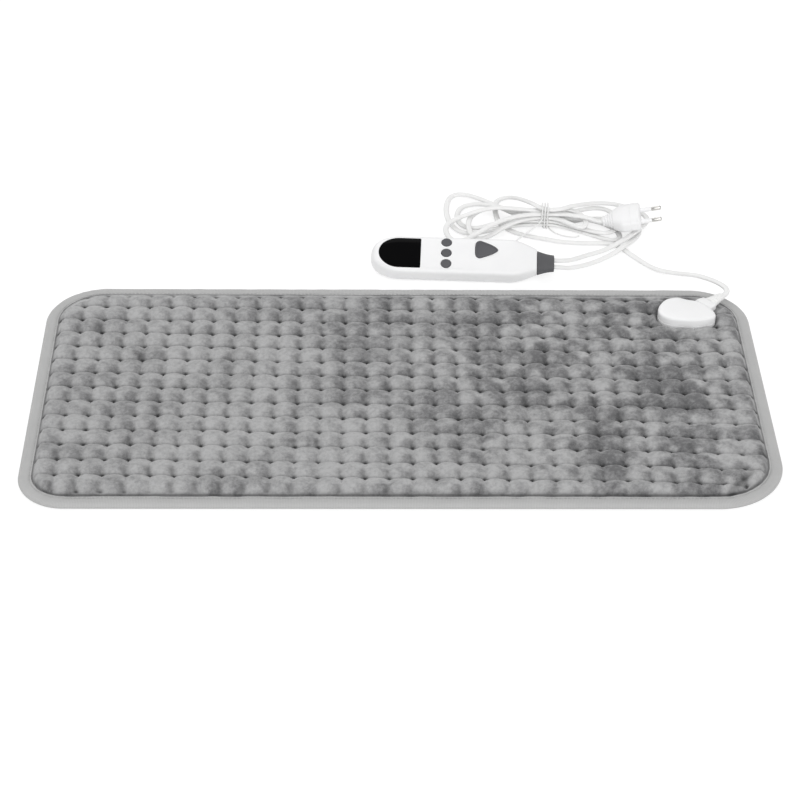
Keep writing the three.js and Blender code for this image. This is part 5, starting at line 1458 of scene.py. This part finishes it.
def make_controller(settings):
    """Two moulded half shells, cut from the body's hull, with the window and the key panel."""
    body = settings.controller
    white, place = finish_of("shell_white"), controller_frame(body)
    middle = body.thickness / 2

    def hollow():
        return hull(body, "shell_hollow", body.wall, None, end=body.length - body.wall, sides=64)

    def neck():
        rings = [oblong(x, 0.0089, 0.0045, 0, middle, OVAL) for x in (0.14, 0.15)]
        return skin("shell_neck", np.stack(rings), None)

    def key_holes():
        return [
            prism("key_hole", disc(KEY_X, KEY_Y + k * KEY_PITCH, KEY_HOLE), PANEL_LOW, ABOVE)
            for k in (-1, 0, 1)
        ]

    def half(name, low, high):
        shell = hull(body, name, 0, white)
        other_half = block("other_half", (-0.01, -0.05, low), (0.16, 0.05, high))
        return cut(shell, [hollow(), other_half, neck()])

    top = half("controller_top", -0.01, middle + SEAM)
    holes = [
        prism("window_pocket", window_outline(-0.00018), 0.018, ABOVE),
        prism("window_hole", window_outline(0.002), 0.012, ABOVE),
        prism("pick_hole", pick_outline(-0.0003), PANEL_LOW, ABOVE),
    ]
    cut(top, holes + key_holes())
    bottom = half("controller_bottom", middle - SEAM, ABOVE)
    screws = [disc(x, 0, 0.0028, 32) for x in (0.052, 0.0871)]
    cut(bottom, [prism("screw_recess", screw, -0.002, 0.0016) for screw in screws])

    window = prism("display_glass", window_outline(0), 0.0183, ABOVE, finish_of("window_black"))
    cut(window, [hull(body, "window_hull", 0.00003, None)], "INTERSECT")
    panel = prism("button_panel", panel_outline(0), PANEL_LOW, ABOVE, white)
    cut(panel, [hull(body, "panel_hull", -0.00016, None)], "INTERSECT")
    cut(panel, [hull(body, "panel_under", 0.0002, None)])
    cut(panel, key_holes())
    for piece, slot, replaced in (
        (top, "shell_white", "handset_top_shell"), (bottom, "shell_white", "handset_bottom_shell"),
        (window, "window_black", "display_window"), (panel, "shell_white", "key_panel"),
    ):
        settle(piece, "base", slot, replaced, place=place)


def make_keys(settings):
    """Round keys turned from a dished profile, and the pick-shaped key from its outline."""
    place = controller_frame(settings.controller)
    profile = [
        (0.0015, 0.01365), (0.0015, 0.0141), (0.0054, 0.0141), (0.0054, 0.015),
        (0.0045, 0.0151), (0.0045, 0.0195), (0.00442, 0.01975), (0.0042, 0.01995),
        (0.0039, 0.0201), (0.0034, 0.02015),
        (0.0026, 0.02008), (0.0012, 0.02), (0.0004, 0.01998),
    ]
    for number, key_body in enumerate(("near_key", "middle_key", "far_key")):
        ring = turned(profile, 56) + [KEY_X, KEY_Y + (number - 1) * KEY_PITCH, 0]
        key = skin(f"round_button_{number + 1}", ring, finish_of("key_grey"))
        settle(key, key_body, "key_grey", f"round_key_{number + 1}", place=place)
    levels = [
        (0, 0.01365, 0.15), (0, 0.0141, 0.15), (-0.0009, 0.0141), (-0.0009, 0.015), (0, 0.0151),
        (0, 0.01995), (0.00008, 0.0202), (0.0003, 0.0204), (0.0007, 0.02048), (0.0012, 0.02046),
        (0.0016, 0.0203), (0.0019, 0.02008), (0.0024, 0.0199), (0.0032, 0.0198),
        (0.0032, 0.0197, 0.7), (0.0032, 0.01966, 0.4), (0.0032, 0.01965, 0.12),
    ]
    pick = skin("pick_button", raised(pick_outline, levels), finish_of("key_grey"))
    settle(pick, "pick_shaped_key", "key_grey", "pick_key", place=place)


def make_boot(settings):
    """The strain relief: a flange and neck inside the shell, then a narrowing oval."""
    body = settings.controller
    z, start = body.thickness / 2, body.length + 0.0003
    stations = [
        (0.1397, 0.0098, 0.0047), (0.1437, 0.0098, 0.0047), (0.14372, 0.0086, 0.0042),
        (start, 0.0086, 0.0042), (start + 0.00002, 0.0114, 0.006),
    ]
    for share in np.linspace(0.012, 0.965, 30):
        widen = (1 - share) ** 1.6
        width, height = 0.0082 + 0.0038 * widen, 0.0046 + 0.002 * widen
        stations.append((start + body.boot * share, width, height))
    stations += [(start + body.boot - 0.0002, 0.0079, 0.0043), (start + body.boot, 0.0073, 0.0037)]
    rings = np.stack([oblong(x, w, h, 0, z, OVAL, 72) for x, w, h in stations])
    boot = skin("cord_boot", rings, finish_of("boot_grey"))
    settle(boot, "base", "boot_grey", "strain_relief_boot", place=controller_frame(body))


def make_inner_parts(settings):
    """Every CAD piece that stays gets the finish of its own slot."""
    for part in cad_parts.values():
        for held in part.material_slots:
            held.material = finish_of(held.material.name.split(".")[0])


# The stage

def make_stage(settings):
    """A camera at the photograph's place, soft light from above and behind, and a white floor."""
    scene = bpy.context.scene
    focal_length, sensor_width, place = 106.5, 36.0, (-0.04196, -1.56577, 1.14795)
    lens = bpy.data.cameras.new("camera")
    lens.lens, lens.sensor_width, lens.clip_end = focal_length, sensor_width, 100.0
    camera = bpy.data.objects.new("camera", lens)
    right, up = (0.99977, -0.01618, 0.01405), (-0.00172, 0.59302, 0.80519)
    back = (-0.02136, -0.80502, 0.59286)
    rotation = Matrix([right, up, back]).transposed().to_4x4()
    camera.matrix_world = Matrix.Translation(place) @ rotation
    scene.collection.objects.link(camera)
    scene.camera = camera
    scene.view_settings.view_transform = "Standard"

    suns = (("key", 0.62, 45, (-42, -18, 0)), ("fill", 1.4, 60, (52, 6, 0)))
    for name, strength, spread, lean in suns:
        lamp = bpy.data.lights.new(name, "SUN")
        lamp.energy, lamp.angle = strength, math.radians(spread)
        light = bpy.data.objects.new(name, lamp)
        light.rotation_euler = [math.radians(a) for a in lean]
        scene.collection.objects.link(light)
    world = bpy.data.worlds.new("studio")
    scene.world = world
    world.use_nodes = True
    sky = world.node_tree.nodes["Background"]
    feed(world.node_tree, sky, {"Color": (1, 1, 1, 1), "Strength": 0.63})

    half, drop = 6.0, -0.0002
    mesh = bpy.data.meshes.new("studio_floor")
    corners = [(x * half, y * half, drop) for x, y in ((-1, -1), (1, -1), (1, 1), (-1, 1))]
    mesh.from_pydata(corners, [], [(0, 1, 2, 3)])
    floor = bpy.data.objects.new("studio_floor", mesh)
    scene.collection.objects.link(floor)
    material = bpy.data.materials.new("studio_floor")
    material.use_nodes = True
    tree = material.node_tree
    tree.nodes.clear()
    paint = node(tree, "ShaderNodeBsdfDiffuse", {"Color": rgba(settings.finish.floor)})
    glow = node(tree, "ShaderNodeEmission", {"Color": (1.0, 1.0, 1.0, 1.0), "Strength": 1.2})
    path = node(tree, "ShaderNodeLightPath")
    seen = maths(tree, "MAXIMUM", path.outputs["Is Camera Ray"], path.outputs["Is Glossy Ray"])
    seen = maths(tree, "MAXIMUM", seen, path.outputs["Is Transmission Ray"])
    share = maths(tree, "MULTIPLY", seen, 0.62)
    mix = node(tree, "ShaderNodeMixShader", {0: share, 1: paint.outputs[0], 2: glow.outputs[0]})
    node(tree, "ShaderNodeOutputMaterial", {"Surface": mix.outputs[0]})
    mesh.materials.append(material)


# Operators

def operator(name, label, text, *makers):
    """An operator that runs its makers on the scene's settings."""
    def execute(self, context):
        for make in makers:
            make(context.scene.heating_pad)
        return {"FINISHED"}

    return type("HEATINGPAD_OT_" + name, (bpy.types.Operator,), {
        "__doc__": text, "bl_idname": "heating_pad." + name, "bl_label": label, "execute": execute,
    })


MAKING_ORDER = (
    operator("stage", "Stage", "Make the camera, the lights and the floor", make_stage),
    operator("plug", "Mains plug", "Make the mains plug, its pins and their sleeves", make_plug),
    operator("connector", "Connector", "Make the connector and its ribbed neck", make_connector),
    operator(
        "cords", "Cords", "Make the mains cord and the pad's cord", make_mains_cord, make_pad_cord,
    ),
    operator("tie", "Twist tie", "Make the twist tie round the bundled cord", make_tie),
    operator("back_cover", "Back cover", "Make the cloth under the pad", make_back_cover),
    operator("filling", "Filling", "Make the wadding and the wire's felt carrier", make_filling),
    operator("cover", "Plush cover", "Make the quilted plush on top of the pad", make_cover),
    operator(
        "binding", "Binding", "Make the knitted binding and its stitches",
        make_binding_strip, make_binding_stitches,
    ),
    operator("socket", "Socket", "Make the socket on the pad", make_socket),
    operator(
        "controller", "Controller", "Make the controller's shells, window, key panel and boot",
        make_controller, make_boot,
    ),
    operator("keys", "Keys", "Make the round keys and the pick-shaped key", make_keys),
    operator("inner_parts", "Inner parts", "Finish the inner pieces", make_inner_parts),
)


class HEATINGPAD_PT_panel(bpy.types.Panel):
    bl_label = "Heating pad"
    bl_space_type = "VIEW_3D"
    bl_region_type = "UI"
    bl_category = "Heating pad"

    def draw(self, context):
        for maker in MAKING_ORDER:
            self.layout.operator(maker.bl_idname)
        for group in ("pad", "socket", "controller", "cord", "plug", "finish"):
            held = getattr(context.scene.heating_pad, group)
            box = self.layout.box()
            box.label(text=group.capitalize())
            for name in held.__annotations__:
                box.prop(held, name)


CLASSES = (
    PadSettings, SocketSettings, ControllerSettings, CordSettings, PlugSettings, FinishSettings,
    HeatingPadSettings, *MAKING_ORDER, HEATINGPAD_PT_panel,
)


def register():
    for kind in CLASSES:
        bpy.utils.register_class(kind)
    bpy.types.Scene.heating_pad = PointerProperty(type=HeatingPadSettings)


def unregister():
    del bpy.types.Scene.heating_pad
    for kind in reversed(CLASSES):
        bpy.utils.unregister_class(kind)


def main():
    register()
    for maker in MAKING_ORDER:
        group, name = maker.bl_idname.split(".")
        getattr(getattr(bpy.ops, group), name)()


if __name__ == "__main__":
    main()
